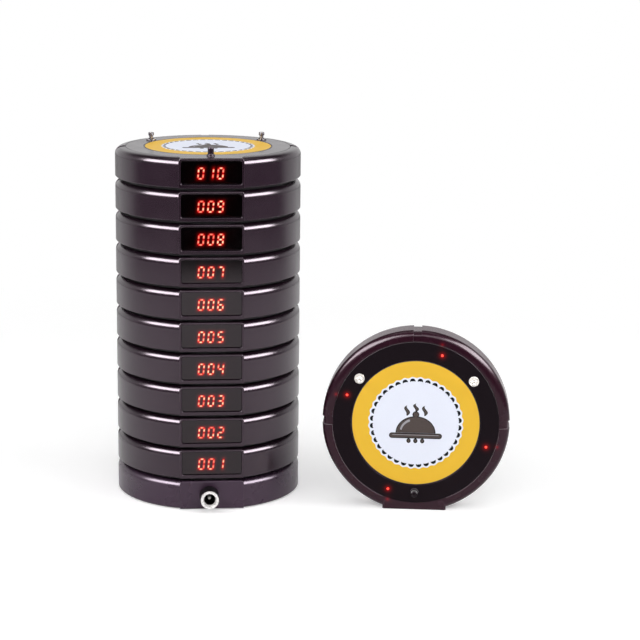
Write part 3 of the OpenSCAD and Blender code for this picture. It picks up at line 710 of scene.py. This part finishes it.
def boardFinish():
    material, tree, shader = newMaterial("boardFinish", IOR=1.5)
    spot = objectSpot(tree)
    track = put(tree, "ShaderNodeTexBrick", {"Vector": spot, **boardLook}).outputs[0]
    via = put(tree, "ShaderNodeTexVoronoi", {"Vector": spot, "Scale": viaLook["scale"]}).outputs["Distance"]
    feed(tree, shader, Base_Color=blend(tree, remap(tree, via, *viaLook["edge"]), track, viaLook["colour"]),
         Roughness=remap(tree, via, *viaLook["dull"], *viaLook["roughness"]))
    return material


finishes["circuit_board"] = boardFinish()

lampLook = {
    "plastic": ((0.5, 0.01, 0.01), (0.8, 0.04, 0.02)),
    "light": ((0.9, 0.015, 0.01), (1.0, 0.09, 0.04)),
    "strength": 1.2,
    "milkScale": 500.0,
}


def lampFinish():
    material, tree, shader = newMaterial("lampFinish", IOR=1.52, Roughness=0.12,
                                         Emission_Strength=lampLook["strength"])
    milky = noise(tree, objectSpot(tree), lampLook["milkScale"])
    feed(tree, shader, Base_Color=blend(tree, milky, *lampLook["plastic"]),
         Emission_Color=blend(tree, milky, *lampLook["light"]))
    return material


finishes["lamp_plastic"] = lampFinish()

# the inlet: bright ring and mouth, bore painted near-black as shade, bright pin, black sleeve
inlet = {
    "right": -1.6 * mm,
    "height": 8.6 * mm,
    "front": -63 * mm,
    "bore": 3.25 * mm,
    "boreBlur": 0.1 * mm,
    "metal": (0.95, 0.93, 0.92),
    "metallic": 0.35,
    # painted shade for the inside of the bore
    "hollow": (0.002, 0.002, 0.002),
    "roughness": (0.22, 0.34),
    "stainScale": 700.0,
    "stains": (0.4, 0.7),
    "stained": 0.85,
    "notchRadius": 3.6 * mm,
    "notchDepth": 0.85 * mm,
    "notchAngles": (222, 270, 318),
    "notchLength": 1.0 * mm,
    "notchWidth": 0.7 * mm,
}
sleeveLook = {
    "colour": (0.0025, 0.002, 0.0025), "wornAndHighlitEdge": (0.012, 0.011, 0.012), "wearAndEdgeHighlight": 0.4, "roughness": (0.3, 0.36),
    "grain": 0.3 * mm, "bump": 0.2, "edge": 0.2 * mm, "dust": 0.0, "ior": 1.25,
}
pinLook = {"colour": (0.97, 0.94, 0.9), "roughness": (0.25, 0.35), "stretch": (1, 1, 1), "bump": 0.1,
           "metallic": 0.3}
# painted shade: a darker copy of the stud metal, for the stacked pagers' studs
shadedStudLook = {"colour": (0.3, 0.28, 0.29), "roughness": (0.1, 0.2), "stretch": (1, 1, 6), "bump": 0.2}


def ringFinish():
    material, tree, shader = newMaterial("ringFinish", IOR=1.3)
    spot = objectSpot(tree)
    aside = vectorMaths(tree, "SUBTRACT", spot, (inlet["right"], 0, inlet["height"]))
    aside = vectorMaths(tree, "LENGTH", vectorMaths(tree, "MULTIPLY", aside, (1, 0, 1)))
    # painted shade: inside the bore the ring is coloured near-black and not metallic
    bright = remap(tree, aside, inlet["bore"], inlet["bore"] + inlet["boreBlur"])
    stain = noise(tree, spot, inlet["stainScale"], 3.0)
    stained = shaded(inlet["metal"], inlet["stained"])
    metal = blend(tree, remap(tree, stain, *inlet["stains"]), inlet["metal"], stained)
    feed(tree, shader, Base_Color=blend(tree, bright, inlet["hollow"], metal),
         Metallic=times(tree, bright, inlet["metallic"]),
         Roughness=remap(tree, stain, *noiseRange, *inlet["roughness"]))
    return material


ownFinishes = {
    "base_dc_barrel": ringFinish(),
    "base_dc_sleeve": mouldedPlastic("sleeveFinish", sleeveLook),
    "base_dc_pin": platedMetal("pinFinish", pinLook),
}
shadedStudFinish = platedMetal("shadedStudFinish", shadedStudLook)
# the stacked pagers' studs take the darker copy, which is painted shade
for entry in subparts:
    if entry["material_slot"] == "stud_metal" and not entry["node"].startswith("loose_"):
        ownFinishes[entry["node"]] = shadedStudFinish

for entry in subparts:
    data = nodes[entry["node"]].data
    data.materials.clear()
    data.materials.append(ownFinishes.get(entry["node"], finishes[entry["material_slot"]]))
print("finishes on all", len(nodes), "solids")


# geometry node trees for what repeats
def newTree(name, inputs):
    tree = bpy.data.node_groups.new(name, "GeometryNodeTree")
    kinds = {float: "NodeSocketFloat", type(None): "NodeSocketMaterial"}
    tree.interface.new_socket("Geometry", in_out="INPUT", socket_type="NodeSocketGeometry")
    for label, value in inputs.items():
        socket = tree.interface.new_socket(label, in_out="INPUT", socket_type=kinds[type(value)])
        if value is not None:
            socket.default_value = value
    tree.interface.new_socket("Geometry", in_out="OUTPUT", socket_type="NodeSocketGeometry")
    return tree, tree.nodes.new("NodeGroupInput").outputs, tree.nodes.new("NodeGroupOutput").inputs


def vector(tree, x=0.0, y=0.0, z=0.0):
    return put(tree, "ShaderNodeCombineXYZ", {0: x, 1: y, 2: z}).outputs[0]


def xyz(tree):
    return put(tree, "ShaderNodeSeparateXYZ", {0: put(tree, "GeometryNodeInputPosition").outputs[0]}).outputs


def moved(tree, geometry, x, y, z):
    values = {"Geometry": geometry, "Position": vector(tree, x, y, z)}
    return put(tree, "GeometryNodeSetPosition", values).outputs[0]


def shifted(tree, geometry, z):
    values = {"Geometry": geometry, "Translation": vector(tree, z=z)}
    return put(tree, "GeometryNodeTransform", values).outputs[0]


def joined(tree, *parts):
    node = tree.nodes.new("GeometryNodeJoinGeometry")
    for part in parts:
        tree.links.new(part, node.inputs[0])
    return node.outputs[0]


def gridSheet(tree, columns, rows):
    values = {"Size X": 1.0, "Size Y": 1.0, "Vertices X": columns, "Vertices Y": rows}
    return put(tree, "GeometryNodeMeshGrid", values).outputs[0]


def closedSlab(tree, sheet, thickness):  # gives a flat sheet a thickness, closed all round
    values = {"Mesh": sheet, "Offset Scale": thickness, "Individual": False}
    raised = put(tree, "GeometryNodeExtrudeMesh", values).outputs[0]
    under = put(tree, "GeometryNodeFlipFaces", {"Mesh": sheet}).outputs[0]
    values = {"Geometry": joined(tree, raised, under), "Distance": 0.0005 * mm}
    return put(tree, "GeometryNodeMergeByDistance", values).outputs[0]


def placeAndEnd(tree, points, item, material, takes):  # one item on each point, turned by its own "turn"
    turn = put(tree, "GeometryNodeInputNamedAttribute", {"Name": "turn"}, data_type="FLOAT").outputs[0]
    rotation = put(tree, "FunctionNodeEulerToRotation", {0: vector(tree, z=turn)}).outputs[0]
    values = {"Points": points, "Instance": item, "Rotation": rotation}
    placed = put(tree, "GeometryNodeInstanceOnPoints", values).outputs[0]
    real = put(tree, "GeometryNodeRealizeInstances", {0: placed}).outputs[0]
    done = put(tree, "GeometryNodeSetMaterial", {"Geometry": real, "Material": material}).outputs[0]
    tree.links.new(done, takes[0])


hexagonHalf = 0.866  # half the height of a hexagon of radius 1


def makeStrokeTree():  # pointed strokes of a number, with "heart" falling from the middle to the rim
    inputs = {"Length": 2.6 * mm, "Width": 1.0 * mm, "Thickness": 0.04 * mm, "Material": None}
    tree, gives, takes = newTree("numberStrokes", inputs)
    circle = {"Vertices": 6, "Radius": 1.0}
    hexagon = put(tree, "GeometryNodeMeshCircle", circle, fill_type="TRIANGLE_FAN").outputs[0]
    x, y, z = xyz(tree)
    halfWidth = times(tree, gives["Width"], 0.5)
    straight = times(tree, minus(tree, gives["Length"], gives["Width"]), 0.5)
    side = maths(tree, "SIGN", maths(tree, "ROUND", times(tree, x, 10.0)))
    newX = plus(tree, times(tree, x, halfWidth), times(tree, side, straight))
    newY = times(tree, maths(tree, "DIVIDE", y, hexagonHalf), halfWidth)
    hexagon = moved(tree, hexagon, newX, newY, 0.0)
    hexagon = put(tree, "GeometryNodeSubdivideMesh", {"Mesh": hexagon, "Level": 3}).outputs[0]
    x, y, z = xyz(tree)
    along = larger(tree, minus(tree, absolute(tree, x), straight), 0.0)
    off = maths(tree, "SQRT", plus(tree, times(tree, along, along), times(tree, y, y)))
    heart = remap(tree, maths(tree, "DIVIDE", off, halfWidth), 0.1, 0.95, 1.0, 0.0)
    ends = (times(tree, straight, 0.45), times(tree, straight, 1.15))
    heart = times(tree, heart, remap(tree, absolute(tree, x), *ends, 1.0, 0.0))
    values = {"Geometry": hexagon, "Name": "heart"}
    store = put(tree, "GeometryNodeStoreNamedAttribute", values, data_type="FLOAT", domain="POINT")
    tree.links.new(heart, next(s for s in store.inputs if s.name == "Value" and s.enabled))
    slab = closedSlab(tree, store.outputs[0], gives["Thickness"])
    placeAndEnd(tree, gives["Geometry"], slab, gives["Material"], takes)
    return tree


def makeCrescentTree():  # each crescent bulges outwards, thick in the middle and thin at its tips
    inputs = {"Radius": 1.35 * mm, "Sweep": 2.6, "Width": 0.95 * mm, "Thickness": 0.03 * mm, "Material": None}
    tree, gives, takes = newTree("borderCrescents", inputs)
    strip = gridSheet(tree, 13, 3)
    x, y, z = xyz(tree)
    angle = times(tree, x, gives["Sweep"])
    thick = times(tree, maths(tree, "COSINE", times(tree, x, math.pi * 0.98)), gives["Width"])
    reach = plus(tree, gives["Radius"], times(tree, times(tree, y, -1.0), thick))
    outwards = minus(tree, times(tree, maths(tree, "COSINE", angle), reach), gives["Radius"])
    strip = moved(tree, strip, outwards, times(tree, maths(tree, "SINE", angle), reach), 0.0)
    slab = closedSlab(tree, strip, gives["Thickness"])
    placeAndEnd(tree, gives["Geometry"], slab, gives["Material"], takes)
    return tree


def makeScrewTree():  # cross-head screws, head downwards
    inputs = {
        "Head Radius": 2.4 * mm, "Head Height": 1.3 * mm, "Shank Radius": 1.05 * mm, "Shank Length": 6.0 * mm,
        "Cross Length": 2.6 * mm, "Cross Width": 0.6 * mm, "Cross Depth": 0.7 * mm, "Material": None,
    }
    tree, gives, takes = newTree("crossScrews", inputs)
    headSize = {"Vertices": 40, "Side Segments": 4, "Radius": gives["Head Radius"],
                "Depth": gives["Head Height"]}
    head = put(tree, "GeometryNodeMeshCylinder", headSize).outputs[0]
    x, y, z = xyz(tree)
    lowRing = maths(tree, "LESS_THAN", z, times(tree, gives["Head Height"], -0.45))
    shrink = remap(tree, lowRing, 0.0, 1.0, 1.0, 0.86)
    newZ = minus(tree, z, times(tree, gives["Head Height"], 0.5))
    head = moved(tree, head, times(tree, x, shrink), times(tree, y, shrink), newZ)
    cut = put(tree, "GeometryNodeMeshBoolean", {"Mesh 1": head}, operation="DIFFERENCE")
    barHeight = times(tree, gives["Cross Depth"], 2.0)
    for first, second in (("Cross Length", "Cross Width"), ("Cross Width", "Cross Length")):
        barSize = vector(tree, gives[first], gives[second], barHeight)
        bar = put(tree, "GeometryNodeMeshCube", {"Size": barSize}).outputs[0]
        bar = shifted(tree, bar, times(tree, gives["Head Height"], -1.0))
        tree.links.new(bar, cut.inputs["Mesh 2"])
    shankSize = {"Vertices": 24, "Radius": gives["Shank Radius"], "Depth": gives["Shank Length"]}
    shank = put(tree, "GeometryNodeMeshCylinder", shankSize).outputs[0]
    shank = shifted(tree, shank, minus(tree, times(tree, gives["Shank Length"], 0.5), 0.1 * mm))
    placeAndEnd(tree, gives["Geometry"], joined(tree, cut.outputs[0], shank), gives["Material"], takes)
    return tree


def makeNotchTree():  # small notches pressed into the inlet's mouth
    inputs = {"Length": 1.0 * mm, "Width": 0.7 * mm, "Thickness": 0.14 * mm, "Material": None}
    tree, gives, takes = newTree("mouthNotches", inputs)
    strip = gridSheet(tree, 5, 5)
    x, y, z = xyz(tree)
    narrow = times(tree, gives["Width"], maths(tree, "COSINE", times(tree, y, 2.2)))
    strip = moved(tree, strip, times(tree, x, narrow), 0.0, times(tree, y, gives["Length"]))
    slab = closedSlab(tree, strip, gives["Thickness"])
    placeAndEnd(tree, gives["Geometry"], slab, gives["Material"], takes)
    return tree


strokeTree = makeStrokeTree()
crescentTree = makeCrescentTree()
screwTree = makeScrewTree()
notchTree = makeNotchTree()


def pointMesh(points):  # points as (x, y, z, turn)
    mesh = bpy.data.meshes.new("points")
    mesh.from_pydata([point[:3] for point in points], [], [])
    turns = mesh.attributes.new("turn", "FLOAT", "POINT").data
    turns.foreach_set("value", [point[3] for point in points])
    return mesh


def grow(tree, points, values):
    holder = bpy.data.objects.new("grower", pointMesh(points))
    scene.collection.objects.link(holder)
    modifier = holder.modifiers.new("grow", "NODES")
    modifier.node_group = tree
    for socket in tree.interface.items_tree:
        if socket.in_out == "INPUT" and socket.name in values:
            modifier[socket.identifier] = values[socket.name]
    graph = bpy.context.evaluated_depsgraph_get()
    grown = holder.evaluated_get(graph)
    mesh = bpy.data.meshes.new_from_object(grown, preserve_all_data_layers=True, depsgraph=graph)
    holder.modifiers.remove(modifier)
    bpy.data.objects.remove(holder)
    return mesh


def outward(mesh):  # welds a closed mesh and points its faces outwards
    shape = bmesh.new()
    shape.from_mesh(mesh)
    bmesh.ops.remove_doubles(shape, verts=shape.verts, dist=0.0002 * mm)
    bmesh.ops.recalc_face_normals(shape, faces=shape.faces)
    shape.to_mesh(mesh)
    shape.free()
    return mesh


def finished(shape, name):  # a new mesh from a bmesh
    mesh = bpy.data.meshes.new(name)
    shape.to_mesh(mesh)
    shape.free()
    return mesh


def addPiece(name, mesh, matrix, body, material=None):
    mesh.transform(matrix)
    if material:
        mesh.materials.clear()
        mesh.materials.append(material)
    piece = bpy.data.objects.new(name, mesh)
    scene.collection.objects.link(piece)
    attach(piece, body)


# lit numbers
number = {
    "height": 7.1 * mm,
    "width": 3.95 * mm,
    "pitch": 5.6 * mm,
    "stroke": 1.1 * mm,
    "thickness": 0.04 * mm,
    "gap": 0.3 * mm,
    "overlap": 0.1 * mm,
    "slant": math.radians(6),
    "shift": -0.45 * mm,
    "drop": 0.4 * mm,
    "behind": 0.01 * mm,
    # where the painted glow on the window starts, and how far it reaches
    "paintedGlowFrom": 0.3 * mm,
    "paintedGlowReach": 0.5 * mm,
}
strokesOn = {"0": "abcdef", "1": "bc", "2": "abdeg", "3": "abcdg", "4": "bcfg", "5": "acdfg", "6": "acdefg",
             "7": "abc", "8": "abcdefg", "9": "abcdfg"}
upright = Matrix.Rotation(math.radians(90), 4, "X")


def strokePoints(text):  # the middles of the lit strokes that lie across and of those that stand
    high = (number["height"] - number["stroke"]) / 2
    wide = (number["width"] - number["stroke"]) / 2
    level = {"a": (0, high), "g": (0, 0), "d": (0, -high)}
    half = high / 2
    standing = {"f": (-wide, half), "b": (wide, half), "e": (-wide, -half), "c": (wide, -half)}
    across, down = [], []
    for place, digit in enumerate(text):
        left = number["shift"] + (place - 1) * number["pitch"]
        for name in strokesOn[digit]:
            if name in level:
                x, y = level[name]
                across.append((left + x, y, 0, 0))
            else:
                x, y = standing[name]
                down.append((left + x, y, 0, math.pi / 2))
    return across, down


def slanted(mesh):
    for vertex in mesh.vertices:
        vertex.co.x += vertex.co.y * math.tan(number["slant"])
    return mesh


def numberMesh(text):
    across, down = strokePoints(text)
    wide = number["width"] - number["stroke"] + number["overlap"]
    high = (number["height"] - number["stroke"]) / 2
    values = {"Width": number["stroke"], "Thickness": number["thickness"], "Material": strokeFinish}
    shape = bmesh.new()
    for points, length in ((across, wide), (down, high)):
        part = slanted(grow(strokeTree, points, {**values, "Length": length - number["gap"]}))
        shape.from_mesh(part)
        bpy.data.meshes.remove(part)
    return outward(finished(shape, "number"))


# smoked windows in the flat fronts
window = {
    "width": 35.0 * mm,
    "height": 13.5 * mm,
    "seam": 0.4 * mm,
    "corner": 1.3 * mm,
    "thickness": 1.2 * mm,
    "setBack": 0.3 * mm,
    "edge": 0.15 * mm,
    "cell": 0.45 * mm,
    "columns": 44,
    "rows": 24,
}


def paintedGlowAt(x, y, text):  # how near a point lies to the nearest lit stroke, which sets the painted glow
    y += number["drop"] + window["seam"] / 2
    x -= y * math.tan(number["slant"])
    high = (number["height"] - number["stroke"]) / 4
    wide = (number["width"] - number["stroke"]) / 2
    best = 1.0
    across, down = strokePoints(text)
    for middleX, middleY, middleZ, turn in across:
        best = min(best, math.hypot(max(abs(x - middleX) - wide, 0), abs(y - middleY)))
    for middleX, middleY, middleZ, turn in down:
        best = min(best, math.hypot(max(abs(y - middleY) - high, 0), abs(x - middleX)))
    return math.exp(-max(best - number["paintedGlowFrom"], 0) / number["paintedGlowReach"])


def roundedOutline(width, height, corner, steps=6):
    points = []
    for quarter, (sideX, sideY) in enumerate(((1, 1), (-1, 1), (-1, -1), (1, -1))):
        for step in range(steps + 1):
            angle = math.pi / 2 * (quarter + step / steps)
            x = sideX * (width / 2 - corner) + corner * math.cos(angle)
            y = sideY * (height / 2 - corner) + corner * math.sin(angle)
            points.append((x, y))
    return points


def ringOfEdges(shape, loop):
    ends = loop[1:] + loop[:1]
    return [shape.edges.get(pair) or shape.edges.new(pair) for pair in zip(loop, ends)]


def windowMesh(text):  # a rounded pane with a fine grid in its front, on which the painted glow is stored
    shape = bmesh.new()
    loops = []
    edge = window["edge"]
    for inset, z in ((edge, 0), (0, -edge), (0, -window["thickness"])):
        width, height = window["width"] - 2 * inset, window["height"] - 2 * inset
        outline = roundedOutline(width, height, window["corner"] - inset)
        loops.append([shape.verts.new((x, y, z)) for x, y in outline])
    count = len(loops[0])
    for first, second in zip(loops, loops[1:]):
        for i in range(count):
            j = (i + 1) % count
            shape.faces.new((first[i], second[i], second[j], first[j]))
    shape.faces.new(loops[2])
    columns, rows, cell = window["columns"], window["rows"], window["cell"]
    grid = []
    for j in range(rows + 1):
        y = (j - rows / 2) * cell
        line = [(number["shift"] + (i - columns / 2) * cell, y, 0) for i in range(columns + 1)]
        grid.append([shape.verts.new(point) for point in line])
    for j in range(rows):
        for i in range(columns):
            shape.faces.new((grid[j][i], grid[j][i + 1], grid[j + 1][i + 1], grid[j + 1][i]))
    rim = [grid[0][i] for i in range(columns)]
    rim += [grid[j][columns] for j in range(rows)]
    rim += [grid[rows][i] for i in range(columns, 0, -1)]
    rim += [grid[j][0] for j in range(rows, 0, -1)]
    edges = ringOfEdges(shape, rim) + ringOfEdges(shape, loops[0])
    bmesh.ops.triangle_fill(shape, use_beauty=True, use_dissolve=False, edges=edges)
    bmesh.ops.recalc_face_normals(shape, faces=shape.faces)
    mesh = finished(shape, "window")
    # painted glow near the lit strokes, stored on the front of the pane
    paintedGlow = [paintedGlowAt(vertex.co.x, vertex.co.y, text) if vertex.co.z == 0 else 0.0 for vertex in mesh.vertices]
    mesh.attributes.new("paintedGlow", "FLOAT", "POINT").data.foreach_set("value", paintedGlow)
    return mesh


windowPlace = Matrix.Translation((0, window["setBack"] - pager["flat"], pager["windowHeight"])) @ upright
panePlace = windowPlace @ Matrix.Translation((0, window["seam"] / 2, 0))
numberPlace = windowPlace @ Matrix.Translation((0, -number["drop"], -number["behind"]))
for order, (body, matrix) in enumerate(everyPager, 1):
    text = f"{order:03d}"
    if body != "loose_pager":
        pane, slot = windowMesh(text), "window_plastic"
        addPiece(f"{body}_window", pane, matrix @ panePlace, body, finishes[slot])
    addPiece(f"{body}_number", numberMesh(text), matrix @ numberPlace, body, strokeFinish)
print("windows and numbers made")

# printed labels: disc, border of crescents, emblem
label = {"radius": 37.6 * mm, "flatRadius": 0.7, "thickness": 0.3 * mm, "edge": 0.06 * mm, "segments": 144}
border = {"count": 36, "radius": 26.1 * mm, "crescent": 1.5 * mm, "sweep": 2.7, "width": 1.75 * mm,
          "thickness": 0.03 * mm}


def labelDisc():
    shape = bmesh.new()
    rings = []
    full, edge, segments = label["radius"], label["edge"], label["segments"]
    profile = ((full, -label["thickness"]), (full, -edge), (full - edge, 0), (full * label["flatRadius"], 0))
    for radius, z in profile:
        angles = [2 * math.pi * i / segments for i in range(segments)]
        ring = [(radius * math.cos(angle), radius * math.sin(angle), z) for angle in angles]
        rings.append([shape.verts.new(point) for point in ring])
    for first, second in zip(rings, rings[1:]):
        for i in range(segments):
            j = (i + 1) % segments
            shape.faces.new((first[i], first[j], second[j], second[i]))
    shape.faces.new(rings[0])
    shape.faces.new(rings[-1])
    bmesh.ops.recalc_face_normals(shape, faces=shape.faces)
    return finished(shape, "label")


def crescents():
    points = []
    for i in range(border["count"]):
        angle = 2 * math.pi * (i + 0.5) / border["count"]
        points.append((border["radius"] * math.cos(angle), border["radius"] * math.sin(angle), 0, angle))
    values = {"Radius": border["crescent"], "Sweep": border["sweep"], "Width": border["width"],
              "Thickness": border["thickness"], "Material": inks["blackInk"]}
    return outward(grow(crescentTree, points, values))


# the emblem: a covered dish with steam, drawn for this label, its outlines in plain millimetres
emblem = {
    "dome": 11.2,
    "domeHeight": 9.6,
    "foot": -6.2,
    "tray": 15.0,
    "trayHeight": 2.7,
    "trayCorner": 1.1,
    "knob": 1.5,
    "line": 0.5,
    "steam": (-5.2, 0.0, 5.2),
    "steamHeight": 5.4,
    "steamWidth": 1.35,
    "dots": (-4.0, 0.0, 4.0),
    "dotRadii": (0.75, 0.95),
    "inkHeights": (0.03 * mm, 0.045 * mm, 0.06 * mm),
    "sunk": -0.01 * mm,
}


def arcPoints(x, y, radiusX, radiusY, start, end, steps):
    points = []
    for i in range(steps + 1):
        angle = math.radians(start + (end - start) * i / steps)
        points.append((x + radiusX * math.cos(angle), y + radiusY * math.sin(angle)))
    return points


def barPoints(x0, y0, x1, y1, corner):
    points = []
    for quarter, (x, y) in enumerate(((x1 - corner, y1 - corner), (x0 + corner, y1 - corner),
                                      (x0 + corner, y0 + corner), (x1 - corner, y0 + corner))):
        points += arcPoints(x, y, corner, corner, 90 * quarter, 90 * quarter + 90, 5)
    return points


def steamPoints(x, y, height, width, steps=14):
    left, right = [], []
    for i in range(steps + 1):
        t = i / steps
        middle = x + 0.95 * math.sin(t * 2 * math.pi) * (0.6 + 0.4 * t)
        thick = width * (math.sin(math.pi * min(t * 1.02 + 0.04, 1)) ** 0.7) / 2 + 0.02
        left.append((middle - thick, y + t * height))
        right.append((middle + thick, y + t * height))
    return right + left[::-1]


def emblemOutlines(line):  # line fattens each shape, for the black line round it
    foot, dome, domeHeight, knob = emblem["foot"], emblem["dome"], emblem["domeHeight"], emblem["knob"]
    tray, trayHeight = emblem["tray"], emblem["trayHeight"]
    shapes = [arcPoints(0, foot + 0.2, dome + line, domeHeight + line, 0, 180, 40)]
    shapes.append(arcPoints(0, foot + domeHeight + knob + 0.2, knob + line, knob + line, 0, 355, 28))
    trayCorners = (-tray - line, foot - trayHeight - line, tray + line, foot - 0.35 + line)
    shapes.append(barPoints(*trayCorners, emblem["trayCorner"] + line))
    for x in emblem["steam"]:
        start, shorter = (3.9, 1.2) if x == 0 else (1.5, 0)
        height, width = emblem["steamHeight"] - shorter + 2 * line, emblem["steamWidth"] + 2 * line
        shapes.append(steamPoints(x, foot + domeHeight + start - line, height, width))
    radiusX, radiusY = emblem["dotRadii"]
    for x in emblem["dots"]:
        shapes.append(arcPoints(x, foot - trayHeight - 1.9, radiusX + line, radiusY + line, 0, 350, 22))
    return shapes


def emblemShine():  # pale lights on the dome and along the tray
    foot, dome, domeHeight, tray = emblem["foot"], emblem["dome"], emblem["domeHeight"], emblem["tray"]
    outer = arcPoints(-0.3, foot + 1.0, dome - 2.2, domeHeight - 1.6, 112, 172, 16)
    inner = arcPoints(-0.3, foot + 1.0, dome - 3.3, domeHeight - 3.0, 172, 112, 16)
    return [outer + inner, barPoints(-tray + 1.4, foot - 1.25, tray - 1.4, foot - 0.95, 0.14)]


def flatPrint(shape, outlines, z, thickness, index):
    for outline in outlines:
        low = [shape.verts.new((x * mm, y * mm, z)) for x, y in outline]
        high = [shape.verts.new((x * mm, y * mm, z + thickness)) for x, y in outline]
        made = [shape.faces.new(low[::-1]), shape.faces.new(high)]
        for i in range(len(outline)):
            j = (i + 1) % len(outline)
            made.append(shape.faces.new((low[i], low[j], high[j], high[i])))
        for face in made:
            face.material_index = index


def emblemMesh():
    shape = bmesh.new()
    layers = (emblemOutlines(emblem["line"]), emblemOutlines(0), emblemShine())
    for index, (outlines, height) in enumerate(zip(layers, emblem["inkHeights"])):
        flatPrint(shape, outlines, emblem["sunk"], height, index)
    bmesh.ops.recalc_face_normals(shape, faces=shape.faces)
    mesh = finished(shape, "emblem")
    for name in ("blackInk", "brownInk", "greyInk"):
        mesh.materials.append(inks[name])
    return mesh


for body, matrix in everyPager:
    face = matrix @ Matrix.Translation((0, 0, pager["height"]))
    if body != "loose_pager":
        addPiece(f"{body}_label", labelDisc(), face, body, stackLabelFinish)
    addPiece(f"{body}_border", crescents(), face, body)
    addPiece(f"{body}_emblem", emblemMesh(), face, body)
print("labels printed")

# screws under the stacked pagers
screw = {
    "circle": 30 * mm,
    "angles": (45, 135, 225, 315),
    "height": 2.15 * mm,
    "turn": 0.4,
    "length": 6.0 * mm,
}
points = []
for angle in screw["angles"]:
    points.append((*clockwise(screw["circle"], angle, screw["height"]), screw["turn"] + angle))
for body, matrix in stack:
    values = {"Shank Length": screw["length"], "Material": finishes["screw_metal"]}
    addPiece(f"{body}_screws", outward(grow(screwTree, points, values)), matrix, body)

# light of the four lamps on the loose pager's face
dotLook = {
    "radius": 0.72 * mm,
    "thickness": 0.04 * mm,
    "strength": 2.2,
    "light": ((1.0, 0.006, 0.004), (1.0, 0.09, 0.05)),
    "grainScale": 1500.0,
}


def lampSpotFinish():
    material, tree, shader = newMaterial("lampSpotFinish", Base_Color=(0.2, 0.0, 0.0), Roughness=0.25,
                                         Emission_Strength=dotLook["strength"])
    grainy = noise(tree, objectSpot(tree), dotLook["grainScale"])
    feed(tree, shader, Emission_Color=blend(tree, grainy, *dotLook["light"]))
    return material


def lampSpots():
    shape = bmesh.new()
    flatten = Matrix.Diagonal((1, 1, dotLook["thickness"] / dotLook["radius"], 1))
    for angle in smoked["lampAngles"]:
        place = Matrix.Translation(clockwise(smoked["lampRadius"], angle, pager["height"])) @ flatten
        bmesh.ops.create_uvsphere(shape, u_segments=20, v_segments=10, radius=dotLook["radius"], matrix=place)
    return outward(finished(shape, "lampSpots"))


addPiece("loose_lamp_spots", lampSpots(), looseMatrix, "loose_pager", lampSpotFinish())


def inletNotches():
    points = []
    for angle in inlet["notchAngles"]:
        turn = math.radians(angle)
        x, y = inlet["notchRadius"] * math.cos(turn), inlet["notchRadius"] * math.sin(turn)
        points.append((x, y, 0, turn + math.pi / 2))
    values = {"Length": inlet["notchLength"], "Width": inlet["notchWidth"],
              "Material": finishes["black_plastic"]}
    return outward(grow(notchTree, points, values))


mouth = Matrix.Translation((inlet["right"], inlet["front"] + inlet["notchDepth"], inlet["height"])) @ upright
addPiece("inlet_notches", inletNotches(), mouth, "charging_base")
print("small parts made")

# the loose pager doesn't show in the shine of the stack
for piece in scene.objects:
    if piece.name.startswith("loose_"):
        piece.visible_glossy = False
